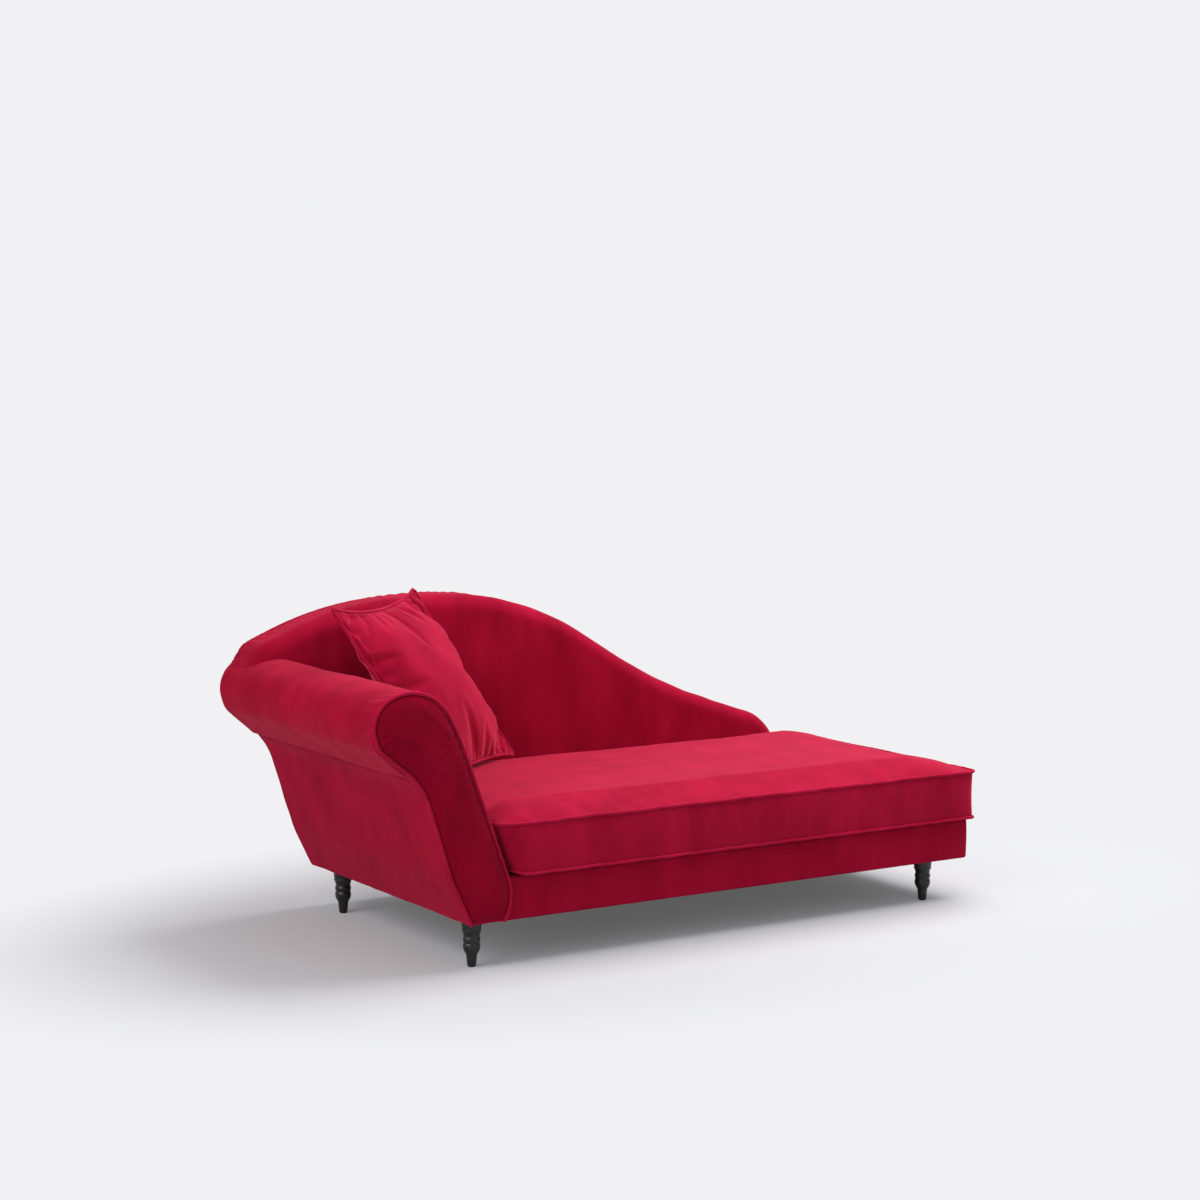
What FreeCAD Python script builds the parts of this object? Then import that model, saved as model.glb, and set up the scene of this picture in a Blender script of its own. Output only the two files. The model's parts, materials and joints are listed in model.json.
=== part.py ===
import FreeCAD, Part
import math
import os

# Chaise longue with one scroll arm, a swept back and a loose boxed seat cushion.
# Working frame: x from the head end of the base to the foot end, y from the front
# of the base to the rear, z up from the floor. Everything moves to the row frame at the end.

# Base
base_length = 1649.0
base_depth = 928.0
base_height = 114.0
back_thick = 151.0           # through the back, from its front face to its rear
leg_height = 120.0

# Cloth, padding and boards
fabric = 2.0                 # velvet with its backing
clear = 0.3                  # room left between soft layers
wadding = 3.0                # between the velvet and the wooden rails
arm_foam_thick = 20.0
back_foam_front = 45.0
back_foam_top = 33.0
profile_board = 18.0         # plywood that gives the arm its outline
back_board = 15.0
hardboard = 3.0
dust_cloth = 1.5

# Rails
rail_thick = 20.0
rail_room = 7.0              # rail top to the top of the base: webbing and deck cloth
cross_rail_count = 3
cross_rail_drop = 25.0       # cross rails stay clear of the stretched webbing
block_side = 72.0
block_height = 45.0

# Webbing
strap_width = 70.0
strap_thick = 1.6
strap_gap_across = 62.0
strap_count_along = 4
weave_rim = 4.0              # a strap levels out this far beside the one it crosses
deck_lip = 110.0             # velvet lip round the deck cloth
arm_cloth = 40.0             # the dust cloth reaches the front over this width under the arm

# Legs
leg_inset_head = 33.0
leg_inset_foot = 123.0
leg_inset_front = 53.0
leg_inset_rear = 135.0
leg_to_rail = 22.0           # rear legs to the rear face of the middle rail
leg_top_radius = 26.0
# Turning of the leg, from the foot up: radius, height above the floor
leg_turning = [
    (11.6, 3.0),
    (14.6, 34.0),
    (22.6, 49.0),
    (22.4, 57.0),
    (19.8, 63.0),
    (23.0, 71.5),
    (20.4, 80.0),
    (26.0, 96.0),
]
glide_radius = 9.0
glide_thick = 3.0
bolt_radius = 3.9
bolt_in_leg = 30.0
bolt_room = 0.1
bolt_seat = 0.5              # the bolt stops this far above the bottom of its hole
nut_barrel_radius = 5.0
nut_flange_radius = 7.4
nut_flange_thick = 1.5
nut_length = 12.0

# Arm
piping_radius = 4.3
piping_sides = 6
facing_thick = 8.3
facing_round = 4.5
arm_rail = 28.0
arm_board_outer = 6.0        # edges of the board under the arm
arm_board_inner = 66.0
arm_rail_rise = 20.0         # the arm's seat rail above the rails of the seat box
arm_foot = 119.5             # where the seat box starts, beside the arm
arm_rail_x = 50.0
roll_rail_x = -175.0
rail_height = 65.0

# Back
back_front_round = 45.0
back_rear_round = 35.0
back_post = 40.0
back_post_count = 4
back_post_first = 150.0
back_post_end = 199.0        # last post to the foot end of the base
crest_foot = 120.0           # where the crest strip starts, above the rails
crest_strip = 5.0

# Seat cushion
cushion_side = 134.0         # between the two piped seams
cushion_crown = 39.0
cushion_shoulder = 95.0      # how far in from the front and foot seams the crown levels out
cushion_tucked = 50.0        # the same at the arm and at the back, where the cushion is pressed in
cushion_draw = 4.0           # how far the boxing pulls in between the seams
cushion_front_over = 13.0
cushion_foot_over = 17.0
cushion_back_room = 10.0
cushion_arm_room = 1.0
cushion_piping_room = 0.5
rising_share = 0.4           # the crown part way up its shoulder: share of the shoulder's width
rising_swell = 0.56          # and share of the crown's height there
shoulder_swell = 0.84        # the same where the shoulder levels out
# How the crown grows from an end of the cushion: share of the shoulder's width, share of the crown
end_swell = [(0.0, 0.03), (0.12, 0.27), (0.35, 0.57), (0.75, 0.82), (1.5, 0.97)]

# Scatter cushion, by three corners of its seam; the fourth completes the parallelogram.
# x from the head end, then forward of the back's front face, then above the seams of the seat cushion.
scatter_top_left = (-148.0, 309.0, 523.1)
scatter_top_right = (255.0, 4.0, 530.1)
scatter_low_right = (542.0, 57.0, 52.1)
scatter_belly = 74.0
scatter_draw = 24.0
scatter_piping_radius = 3.2
scatter_piping_room = 1.8
scatter_corner = 7.0         # bend of the piping at a corner
scatter_wall = 2.0
scatter_fill_room = 2.2
scatter_sides = 8            # points on each half of a section
scatter_stations = [0.0, 0.1, 0.3, 0.5, 0.7, 0.9, 1.0]

seat_depth = base_depth - back_thick
base_top = leg_height + base_height
far = 5000.0                 # beyond everything, for cutting blocks
wood_bottom = leg_height + dust_cloth
rail_top = base_top - rail_room
inner_face = fabric + wadding

# Corners of the arm outline: x, height above the underside of the base, corner radius.
# They run up the outside, round the scroll and down the inside.
arm_corners = [
    (0.0, 0.0, 0.0),
    (-60.0, 123.0, 272.0),
    (-138.0, 370.0, 190.0),
    (-263.0, 473.0, 54.0),
    (-291.0, 572.0, 80.0),
    (-117.0, 655.0, 128.0),
    (-29.0, 499.0, 696.0),
    (134.0, 57.0, 129.0),
    (95.0, 0.0, 0.0),
]
arm_tuck_height = 395.0      # where the outside panel is tucked under the scroll
panel_top_x = -95.0          # the line inside the arm that parts its outside panel from the rest:
panel_foot_x = 55.0          # at the tuck, and at the underside of the base

# Corners of the back outline, from the arm over the crown and down to the nose
nose_room = 87.0             # foot end of the base to the nose of the back
nose_lean = 6.0
back_hidden = (30.0, -170.0, 540.0)     # inside the arm: x at the foot, then x and height under the scroll
shoulder_share = 0.43        # where the back's edge dips into the scroll, along its first side
back_corners = [
    (-309.0, 500.0, 0.0),
    (-208.0, 652.0, 70.0),
    (0.0194 * base_length, 753.0, 0.6155 * base_length),
    (0.3620 * base_length, 782.0, 0.6028 * base_length),
    (0.6731 * base_length, 458.0, 0.7647 * base_length),
    (base_length - nose_room, 310.0, 181.0),
    (base_length - nose_room - nose_lean, 120.0, 0.0),
]


def along(a, b, distance):
    """The point that far from a towards b."""
    length = math.hypot(b[0] - a[0], b[1] - a[1])
    t = distance / length
    return (a[0] + (b[0] - a[0]) * t, a[1] + (b[1] - a[1]) * t)


def upright(point, y=0.0):
    return FreeCAD.Vector(point[0], y, leg_height + point[1])


def tangent_edges(corners, closed, place=upright):
    """Lines joined by tangent arcs, one arc for each corner with a radius."""
    count = len(corners)
    cuts = []
    for i, (x, z, radius) in enumerate(corners):
        before = corners[i - 1]
        after = corners[(i + 1) % count]
        if radius <= 0:
            cuts.append((None, (x, z), (x, z)))
            continue
        ux, uz = before[0] - x, before[1] - z
        wx, wz = after[0] - x, after[1] - z
        turn = math.pi - math.acos((ux * wx + uz * wz) / math.hypot(ux, uz) / math.hypot(wx, wz))
        reach = radius * math.tan(turn / 2)
        start = along((x, z), before, reach)
        end = along((x, z), after, reach)
        middle = ((start[0] + end[0]) / 2, (start[1] + end[1]) / 2)
        half_chord = math.hypot(end[0] - start[0], end[1] - start[1]) / 2
        rise = radius - math.sqrt(radius ** 2 - half_chord ** 2)
        cuts.append((along(middle, (x, z), rise), start, end))
    edges = []
    for i in range(count):
        top, start, end = cuts[i]
        if top is not None:
            edges.append(Part.Arc(place(start), place(top), place(end)).toShape())
        if i + 1 < count or closed:
            following = cuts[(i + 1) % count][1]
            if math.hypot(following[0] - end[0], following[1] - end[1]) > 1e-6:
                edges.append(Part.LineSegment(place(end), place(following)).toShape())
    return edges


def inset_corners(corners, inset):
    """The same outline, moved inwards. The corners run clockwise seen from the front."""
    count = len(corners)
    lines = []
    for i in range(count):
        a, b = corners[i], corners[(i + 1) % count]
        length = math.hypot(b[0] - a[0], b[1] - a[1])
        dx, dz = (b[0] - a[0]) / length, (b[1] - a[1]) / length
        lines.append((a[0] + dz * inset, a[1] - dx * inset, dx, dz))
    moved = []
    for i in range(count):
        px, pz, dx, dz = lines[i - 1]
        qx, qz, ex, ez = lines[i]
        cross = dx * ez - dz * ex
        t = ((qx - px) * ez - (qz - pz) * ex) / cross
        radius = corners[i][2]
        if radius > 0:
            radius = max(radius - inset if cross < 0 else radius + inset, 1.0)
        moved.append((px + dx * t, pz + dz * t, radius))
    return moved


def face_of(corners):
    return Part.Face(Part.Wire(tangent_edges(corners, True)))


def slab(face, front, rear):
    """The face, drawn in the plane y = 0, as a solid from front to rear."""
    solid = face.extrude(FreeCAD.Vector(0, rear - front, 0))
    solid.translate(FreeCAD.Vector(0, front, 0))
    return solid


def block(x0, x1, y0, y1, z0, z1):
    return Part.makeBox(x1 - x0, y1 - y0, z1 - z0, FreeCAD.Vector(x0, y0, z0))


def above_wood(shape):
    """The part of a shape above the underside of the wooden frame."""
    return shape.common(block(-far, far, -far, far, wood_bottom, far))


def arm_face(inset):
    """The arm outline moved inwards, still open down to the underside of the base."""
    deep = -2 * max(inset, 1.0) - 1.0
    first, second = arm_corners[0], arm_corners[1]
    last, before = arm_corners[-1], arm_corners[-2]
    slope_out = (second[0] - first[0]) / (second[1] - first[1])
    slope_in = (before[0] - last[0]) / (before[1] - last[1])
    corners = list(arm_corners)
    corners[0] = (first[0] + slope_out * deep, deep, 0.0)
    corners[-1] = (last[0] + slope_in * deep, deep, 0.0)
    face = face_of(inset_corners(corners, inset) if inset else corners)
    keep = block(-far, far, -1.0, 1.0, leg_height, far)
    return face.common(keep).Faces[0]


def arm_slice(inset, height):
    """The box round the arm outline at one height above the floor, after moving the outline inwards."""
    return arm_face(inset).common(block(-far, far, -1, 1, height, height + 0.01)).BoundBox


def arm_outer_zone():
    """A prism over the outside panel of the arm, below the tuck under the scroll."""
    points = [(-far, -far), (-far, arm_tuck_height), (panel_top_x, arm_tuck_height),
              (panel_foot_x, 0.0), (panel_foot_x, -far)]
    corners = [(x, z, 0.0) for x, z in points]
    return slab(face_of(corners), -base_depth, 2 * base_depth)


def arm_space(grow):
    """All the room that the arm takes, from front to rear, a little larger."""
    return slab(arm_face(-grow), -base_depth, 2 * base_depth)


def ring(outer, inner, front, rear):
    return slab(arm_face(outer), front, rear).cut(slab(arm_face(inner), front - 1, rear + 1))


def one(shape):
    """The only solid of a boolean result."""
    solids = shape.removeSplitter().Solids
    if len(solids) != 1:
        raise ValueError("expected one solid, got %d" % len(solids))
    return solids[0]


def arm_layers():
    """The arm from its boards out to its velvet."""
    front = fabric + clear
    rear = base_depth - fabric - clear
    foam_out = fabric + clear
    foam_in = foam_out + arm_foam_thick
    board_in = foam_in + clear
    shell_in = foam_out + hardboard
    zone = arm_outer_zone()
    wide = ring(foam_out, foam_in, front, rear)
    nodes = {}
    nodes["arm_foam"] = one(above_wood(wide.cut(zone)))
    velvet = ring(0, fabric, front, rear)
    nodes["arm_cover"] = one(above_wood(velvet.cut(zone)))
    nodes["arm_outside_cover"] = one(velvet.common(zone))
    nodes["arm_outside_board"] = one(above_wood(ring(foam_out, shell_in, front, rear).common(zone)))
    outline = slab(arm_face(board_in), front, rear)
    outline = above_wood(outline.fuse(slab(arm_face(shell_in + clear), front, rear).common(zone)))
    nodes["arm_front_board"] = one(outline.common(block(-far, far, front, front + profile_board, 0, far)))
    nodes["arm_rear_board"] = one(outline.common(block(-far, far, rear - profile_board, rear, 0, far)))
    y0 = front + profile_board
    y1 = rear - profile_board
    floor = wood_bottom
    base_board = block(arm_board_outer, arm_board_inner, y0, y1, floor, floor + profile_board)
    for x, y in leg_places().values():
        base_board = base_board.cut(cylinder(nut_barrel_radius + bolt_room, 2 * profile_board, x, y, floor - 1))
    nodes["arm_base_board"] = base_board
    tuck_top = leg_height + arm_tuck_height
    shell = shell_in + clear
    tuck_rail_x = max(arm_slice(shell, tuck_top - rail_height).XMin, arm_slice(shell, tuck_top).XMin) + clear
    rails = {
        "arm_seat_rail": (arm_rail_x, rail_top + arm_rail_rise),
        "arm_roll_rail": (roll_rail_x, leg_height + arm_corners[3][1] + rail_height),
        "arm_tuck_rail": (tuck_rail_x, tuck_top),
    }
    for name, (x, top) in rails.items():
        nodes[name] = block(x, x + arm_rail, y0, y1, top - rail_height, top)
    return nodes


def pipe_along(edges, radius, normal):
    """A cord of piping, plain with flat sides, that follows a flat chain of lines and arcs."""
    wire = Part.Wire(edges)
    start = wire.Edges[0]
    point = start.valueAt(start.FirstParameter)
    direction = start.tangentAt(start.FirstParameter)
    side = direction.cross(normal)
    points = []
    for i in range(piping_sides + 1):
        turn = 2 * math.pi * (i + 0.5) / piping_sides
        points.append(point + side * (radius * math.cos(turn)) + normal * (radius * math.sin(turn)))
    return wire.makePipeShell([Part.makePolygon(points)], True, False)


def ends_down(corners, height):
    """The outline with its two ends run on along their sides to that height."""
    ends = []
    for end, before in ((corners[0], corners[1]), (corners[-1], corners[-2])):
        slope = (before[0] - end[0]) / (before[1] - end[1])
        ends.append((end[0] + (height - end[1]) * slope, height, 0.0))
    return [ends[0]] + corners[1:-1] + [ends[1]]


def arm_front():
    """The padded facing panel and the piping round it, on the front of the arm."""
    seat = fabric
    corners = ends_down(inset_corners(arm_corners, 2 * piping_radius + clear), 1.0)
    panel = slab(face_of(corners), seat - facing_thick, seat)
    rim = [e for e in panel.Edges if abs(e.BoundBox.YMin - (seat - facing_thick)) < 0.01
           and abs(e.BoundBox.YMax - (seat - facing_thick)) < 0.01]
    panel = panel.makeChamfer(facing_round, rim)
    line = ends_down(inset_corners(arm_corners, piping_radius), 0.0)
    edges = tangent_edges(line, False)
    piping = pipe_along(edges, piping_radius, FreeCAD.Vector(0, 1, 0))
    piping.translate(FreeCAD.Vector(0, seat - piping_radius, 0))
    return {"arm_facing": panel.Solids[0], "arm_piping": piping.Solids[0]}


def back_face(inset, bottom):
    """The back outline moved inwards, with its foot at the given height above the base's underside."""
    corners = list(back_corners)
    moved = inset_corners(corners, inset) if inset else corners
    left, right = moved[0], moved[-1]
    first = moved[1]
    edge_x = left[0] + (first[0] - left[0]) * shoulder_share
    edge_z = left[1] + (first[1] - left[1]) * shoulder_share
    low_x, high_x, high_z = back_hidden
    inside = [(low_x, bottom, 0.0), (high_x, high_z, 0.0), (edge_x, edge_z, 0.0)]
    moved[-1] = (right[0], bottom, 0.0)
    return face_of(inside + moved[1:])


def back_form(inset, front, rear, bottom):
    """The back as one padded form, less the room that the arm takes."""
    solid = slab(back_face(inset, bottom), front, rear)
    solid = round_top(solid, front, back_front_round - inset, inset > 0)
    solid = round_top(solid, rear, back_rear_round - inset, inset > 0)
    return solid.cut(arm_space(clear))


def round_top(solid, plane, radius, plain):
    """Rounds the long upper edge in one of the solid's upright faces, or only bevels it where it is hidden."""
    low = leg_height + base_height + radius
    chain = []
    for edge in solid.Edges:
        box = edge.BoundBox
        in_plane = abs(box.YMin - plane) < 0.01 and abs(box.YMax - plane) < 0.01
        if in_plane and box.ZMax > low:
            chain.append(edge)
    if plain:
        return solid.makeChamfer(radius, chain)
    return solid.makeFillet(radius, chain)


def back_layers():
    """The back from its frame out to its velvet."""
    foot = rail_top - leg_height
    rear = base_depth - fabric - clear
    nodes = {}
    outer = back_form(0, seat_depth, base_depth, foot)
    inner = back_form(fabric, seat_depth + fabric, base_depth - fabric, foot - 1)
    front_part = block(-far, far, 0, rear, 0, far)
    nodes["back_cover"] = one(outer.cut(inner).common(front_part))
    soft = fabric + clear
    foam = back_form(soft, seat_depth + soft, base_depth - soft, foot)
    board_front = seat_depth + soft + back_foam_front
    hollow = slab(back_face(soft + back_foam_top, foot - 1), board_front, 2 * base_depth)
    nodes["back_foam"] = one(foam.common(front_part).cut(hollow))
    frame_inset = soft + back_foam_top + clear
    frame = slab(back_face(frame_inset, foot), board_front + clear, rear).cut(arm_space(clear))
    board_rear = board_front + clear + back_board
    nodes["back_front_board"] = one(frame.common(block(-far, far, 0, board_rear, 0, far)))
    rear_board_front = rear - back_board
    nodes["back_rear_board"] = one(frame.common(block(-far, far, rear_board_front, rear, 0, far)))
    within = slab(back_face(frame_inset + crest_strip, foot - 1), board_rear - 1, rear_board_front + 1)
    middle = frame.common(block(-far, far, board_rear, rear_board_front, rail_top + crest_foot, far))
    strip = middle.cut(within)
    nodes["back_crest_strip"] = max(strip.Solids, key=lambda s: s.Volume)
    room = slab(back_face(frame_inset + crest_strip + clear, foot), board_rear, rear_board_front).cut(arm_space(clear))
    posts = []
    for i in range(back_post_count):
        last = base_length - back_post_end
        x = back_post_first + (last - back_post_first) * i / (back_post_count - 1)
        posts.append(one(room.common(block(x, x + back_post, 0, base_depth, rail_top, far))))
    nodes["back_posts"] = Part.makeCompound(posts)
    whole = outer.fuse(block(0, base_length, seat_depth, base_depth, leg_height, base_top)).fuse(
        slab(arm_face(0), seat_depth, base_depth))
    panel = whole.common(block(-far, far, base_depth - fabric, base_depth, 0, far))
    nodes["back_outside_cover"] = one(panel)
    return nodes


def base_frame():
    """The rails, blocks and cross rails of the seat box."""
    nodes = {}
    x0 = arm_foot
    x1 = base_length - inner_face
    y0 = inner_face
    y1 = base_depth - inner_face
    z0, z1 = wood_bottom, rail_top
    nodes["seat_front_rail"] = block(x0, x1, y0, y0 + rail_thick, z0, z1)
    nodes["seat_rear_rail"] = block(x0, x1, y1 - rail_thick, y1, z0, z1)
    nodes["seat_foot_rail"] = block(x1 - rail_thick, x1, y0 + rail_thick, y1 - rail_thick, z0, z1)
    nodes["seat_head_rail"] = block(x0, x0 + rail_thick, y0 + rail_thick, y1 - rail_thick, z0, z1)
    back_rail_front = base_depth - leg_inset_rear - leg_to_rail - rail_thick
    inner_x0, inner_x1 = x0 + rail_thick, x1 - rail_thick
    nodes["seat_middle_rail"] = block(inner_x0, inner_x1, back_rail_front, back_rail_front + rail_thick, z0, z1)
    crosses = []
    for i in range(cross_rail_count):
        x = inner_x0 + (inner_x1 - inner_x0) * (i + 1) / (cross_rail_count + 1) - rail_thick / 2
        crosses.append(block(x, x + rail_thick, y0 + rail_thick, back_rail_front, z0, z1 - cross_rail_drop))
    nodes["seat_cross_rails"] = Part.makeCompound(crosses)
    return nodes


def leg_places():
    head = leg_inset_head
    foot = base_length - leg_inset_foot
    front = leg_inset_front
    rear = base_depth - leg_inset_rear
    return {"front_head": (head, front), "front_foot": (foot, front),
            "rear_head": (head, rear), "rear_foot": (foot, rear)}


def leg_profile():
    """Half the section of a turned leg."""
    top = wood_bottom
    v = FreeCAD.Vector
    points = [(0.0, glide_thick)] + leg_turning + [(leg_top_radius, top), (0.0, top)]
    outline = [v(radius, 0, height) for radius, height in points]
    return Part.Face(Part.makePolygon(outline + outline[:1]))


def cylinder(radius, height, x, y, z):
    return Part.makeCylinder(radius, height, FreeCAD.Vector(x, y, z))


def legs():
    """Turned legs with their hanger bolts, tee nuts, blocks and glides."""
    nodes = {}
    turned = leg_profile().revolve(FreeCAD.Vector(0, 0, 0), FreeCAD.Vector(0, 0, 1), 360)
    turned = turned.cut(cylinder(bolt_radius + bolt_room, bolt_in_leg + 1, 0, 0, wood_bottom - bolt_in_leg))
    turnings, bolts, nuts, blocks, glides = [], [], [], [], []
    block_top = wood_bottom + block_height
    for place, (x, y) in leg_places().items():
        leg = turned.copy()
        leg.translate(FreeCAD.Vector(x, y, 0))
        turnings.append(leg)
        bolts.append(cylinder(bolt_radius, bolt_in_leg + block_height, x, y, wood_bottom - bolt_in_leg + bolt_seat))
        barrel = cylinder(nut_barrel_radius, nut_length, x, y, block_top - nut_length)
        flange = cylinder(nut_flange_radius, nut_flange_thick, x, y, block_top)
        hole = cylinder(bolt_radius + bolt_room, 2 * nut_length, x, y, block_top - nut_length - 1)
        nuts.append(barrel.fuse(flange).removeSplitter().cut(hole))
        glides.append(cylinder(glide_radius, glide_thick, x, y, 0))
        blocks.append(leg_block(place, x, y, block_top))
    nodes["legs"] = Part.makeCompound(turnings)
    nodes["leg_bolts"] = Part.makeCompound(bolts)
    nodes["leg_tee_nuts"] = Part.makeCompound(nuts)
    nodes["leg_glides"] = Part.makeCompound(glides)
    nodes["leg_blocks"] = Part.makeCompound(blocks)
    return nodes


def leg_block(place, x, y, top):
    """A hardwood block over a leg, seated against the rails or boards beside it."""
    x0 = x - block_side / 2
    x1 = x + block_side / 2
    base = wood_bottom
    if place.endswith("head"):
        x0 = arm_board_outer
        x1 = arm_board_inner
        base = wood_bottom + profile_board
    if place.startswith("front"):
        y0 = inner_face + rail_thick
        if place.endswith("head"):
            y0 = fabric + clear + profile_board
        y1 = y0 + block_side
    else:
        y0 = base_depth - leg_inset_rear - leg_to_rail
        y1 = y0 + block_side
    body = block(x0, x1, y0, y1, base, top)
    return body.cut(cylinder(nut_barrel_radius + bolt_room, block_height + 2, x, y, wood_bottom - 1))


def strap(path, width, across):
    """A flat strap whose side view is a folded line of (distance, height) points."""
    upper = [FreeCAD.Vector(p, 0, h + strap_thick / 2) for p, h in path]
    lower = [FreeCAD.Vector(p, 0, h - strap_thick / 2) for p, h in reversed(path)]
    face = Part.Face(Part.makePolygon(upper + lower + upper[:1]))
    if across:
        face.rotate(FreeCAD.Vector(0, 0, 0), FreeCAD.Vector(0, 0, 1), 90)
        return face.extrude(FreeCAD.Vector(width, 0, 0))
    return face.extrude(FreeCAD.Vector(0, width, 0))


def webbing():
    """Elastic straps stretched over the rails, woven over and under each other."""
    head = arm_foot
    foot = base_length - inner_face
    front = inner_face
    rear = base_depth - leg_inset_rear - leg_to_rail
    level = rail_top + strap_thick / 2 + clear + strap_thick
    swing = strap_thick / 2 + clear / 2
    pitch = strap_width + strap_gap_across
    count_across = int((foot - head - 2 * rail_thick) / pitch)
    margin = (foot - head - (count_across - 1) * pitch - strap_width) / 2
    xs = [head + margin + i * pitch for i in range(count_across)]
    span = rear - front - 2 * rail_thick
    pitch_along = span / strap_count_along
    ys = [front + rail_thick + pitch_along * (i + 0.5) - strap_width / 2 for i in range(strap_count_along)]
    across = []
    for i, x in enumerate(xs):
        path = [(front, level - swing), (front + rail_thick, level - swing)]
        for j, y in enumerate(ys):
            height = level + swing * (1 if (i + j) % 2 else -1)
            path += [(y - weave_rim, height), (y + strap_width + weave_rim, height)]
        path += [(rear - rail_thick, level - swing), (rear, level - swing)]
        piece = strap(path, strap_width, True)
        piece.translate(FreeCAD.Vector(x, 0, 0))
        across.append(piece)
    lengthwise = []
    for j, y in enumerate(ys):
        path = [(head, level - swing), (head + rail_thick, level - swing)]
        for i, x in enumerate(xs):
            height = level - swing * (1 if (i + j) % 2 else -1)
            path += [(x - weave_rim, height), (x + strap_width + weave_rim, height)]
        path += [(foot - rail_thick, level - swing), (foot, level - swing)]
        piece = strap(path, strap_width, False)
        piece.translate(FreeCAD.Vector(0, y, 0))
        lengthwise.append(piece)
    return {"webbing_across": Part.makeCompound(across), "webbing_along": Part.makeCompound(lengthwise)}


def base_covers():
    """The velvet round the base, the deck cloth inside its lip and the dust cloth below."""
    nodes = {}
    outer = block(0, base_length, 0, base_depth - fabric - clear, leg_height, base_top)
    upright_corners = [e for e in outer.Edges if abs(e.BoundBox.XMin - base_length) < 0.01
                       and abs(e.BoundBox.XMax - base_length) < 0.01
                       and e.BoundBox.YMax < 1 and e.BoundBox.ZLength > 1]
    outer = outer.makeFillet(2 * fabric, upright_corners)
    inner = block(-1, base_length - fabric, fabric, base_depth, leg_height - 1, base_top - fabric)
    lip_x = base_length - deck_lip
    opening = block(-1, lip_x, deck_lip, seat_depth - deck_lip / 2, leg_height, base_top + 1)
    back_room = block(-1, back_corners[-1][0] + clear, seat_depth - clear, base_depth, leg_height, base_top + 1)
    arm = arm_space(clear)
    nodes["base_cover"] = one(outer.cut(inner).cut(opening).cut(back_room).cut(arm))
    deck = block(0, lip_x - clear, deck_lip + clear, seat_depth - deck_lip / 2 - clear,
                 base_top - fabric, base_top)
    nodes["deck_cloth"] = one(deck.cut(arm))
    wad_out, wad_in = fabric + clear, inner_face - clear
    wad_rear = base_depth - fabric - clear
    wad = block(arm_foot, base_length - wad_out, wad_out, wad_rear, wood_bottom, base_top - fabric - clear)
    within = block(arm_foot - 1, base_length - wad_in, wad_in, base_depth - wad_in, leg_height, base_top)
    nodes["base_wadding"] = wad.cut(within).cut(back_room)
    edge = inner_face
    arm_end = edge + arm_cloth
    cloth = block(arm_end, base_length - edge, edge, base_depth - edge, leg_height, wood_bottom)
    cloth = cloth.fuse(block(edge + 1, arm_end + 1, fabric + clear, base_depth - edge, leg_height, wood_bottom))
    cloth = cloth.removeSplitter()
    for x, y in leg_places().values():
        cloth = cloth.cut(cylinder(leg_top_radius + clear, 2 * dust_cloth, x, y, leg_height - 1))
    nodes["dust_cloth"] = one(cloth)
    return nodes


def cushion_seam_top():
    """Height of the upper piped seam of the seat cushion above the floor."""
    return base_top + piping_radius + clear + cushion_side


def cushion_bounds(inset):
    """The seam rectangle of the seat cushion and the lean of its arm end."""
    bottom = base_top + piping_radius + clear
    top = cushion_seam_top()
    beside = cushion_arm_room + 2 * piping_radius + cushion_piping_room
    low = arm_slice(0, bottom).XMax + beside
    high = arm_slice(0, top).XMax + beside
    return {
        "x_low": low + inset, "x_high": high + inset,
        "x_foot": base_length + cushion_foot_over - inset,
        "y_front": -cushion_front_over + inset,
        "y_back": seat_depth - cushion_back_room - inset,
        "z_low": bottom + inset, "z_high": top - inset / 2,
    }


def cushion_section(b, x_low, x_high, swell, inset):
    """One section across the cushion: flat underside, drawn-in boxing and crowned top."""
    crown = (cushion_crown - inset / 2) * swell
    y0, y1 = b["y_front"], b["y_back"]
    z0, z1 = b["z_low"], b["z_high"]
    lean = (x_high - x_low) / (z1 - z0)

    def at(y, z):
        return FreeCAD.Vector(x_low + (z - z0) * lean, y, z)

    middle = (z0 + z1) / 2
    near, distant = y0 + cushion_shoulder, y1 - cushion_tucked
    shoulder = z1 + crown * shoulder_swell
    rising = z1 + crown * rising_swell
    pieces = [
        Part.LineSegment(at(y0, z0), at(y1, z0)),
        Part.Arc(at(y1, z0), at(y1 - cushion_draw, middle), at(y1, z1)),
        Part.Arc(at(y1, z1), at(y1 - cushion_tucked * rising_share, rising), at(distant, shoulder)),
        Part.Arc(at(distant, shoulder), at((near + distant) / 2, z1 + crown), at(near, shoulder)),
        Part.Arc(at(near, shoulder), at(y0 + cushion_shoulder * rising_share, rising), at(y0, z1)),
        Part.Arc(at(y0, z1), at(y0 + cushion_draw, middle), at(y0, z0)),
    ]
    return Part.Wire([p.toShape() for p in pieces])


def cushion_form(inset):
    """The boxed seat cushion: crowned over its whole top and leaning with the arm at its head end."""
    b = cushion_bounds(inset)
    sections = []
    for share, swell in end_swell:
        step = share * cushion_tucked
        sections.append(cushion_section(b, b["x_low"] + step, b["x_high"] + step, swell, inset))
    middle = (b["x_low"] + b["x_foot"]) / 2
    sections.append(cushion_section(b, middle, middle, 1.0, inset))
    for share, swell in reversed(end_swell):
        x = b["x_foot"] - share * cushion_shoulder
        sections.append(cushion_section(b, x, x, swell, inset))
    return Part.makeLoft(sections, True, True)


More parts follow.
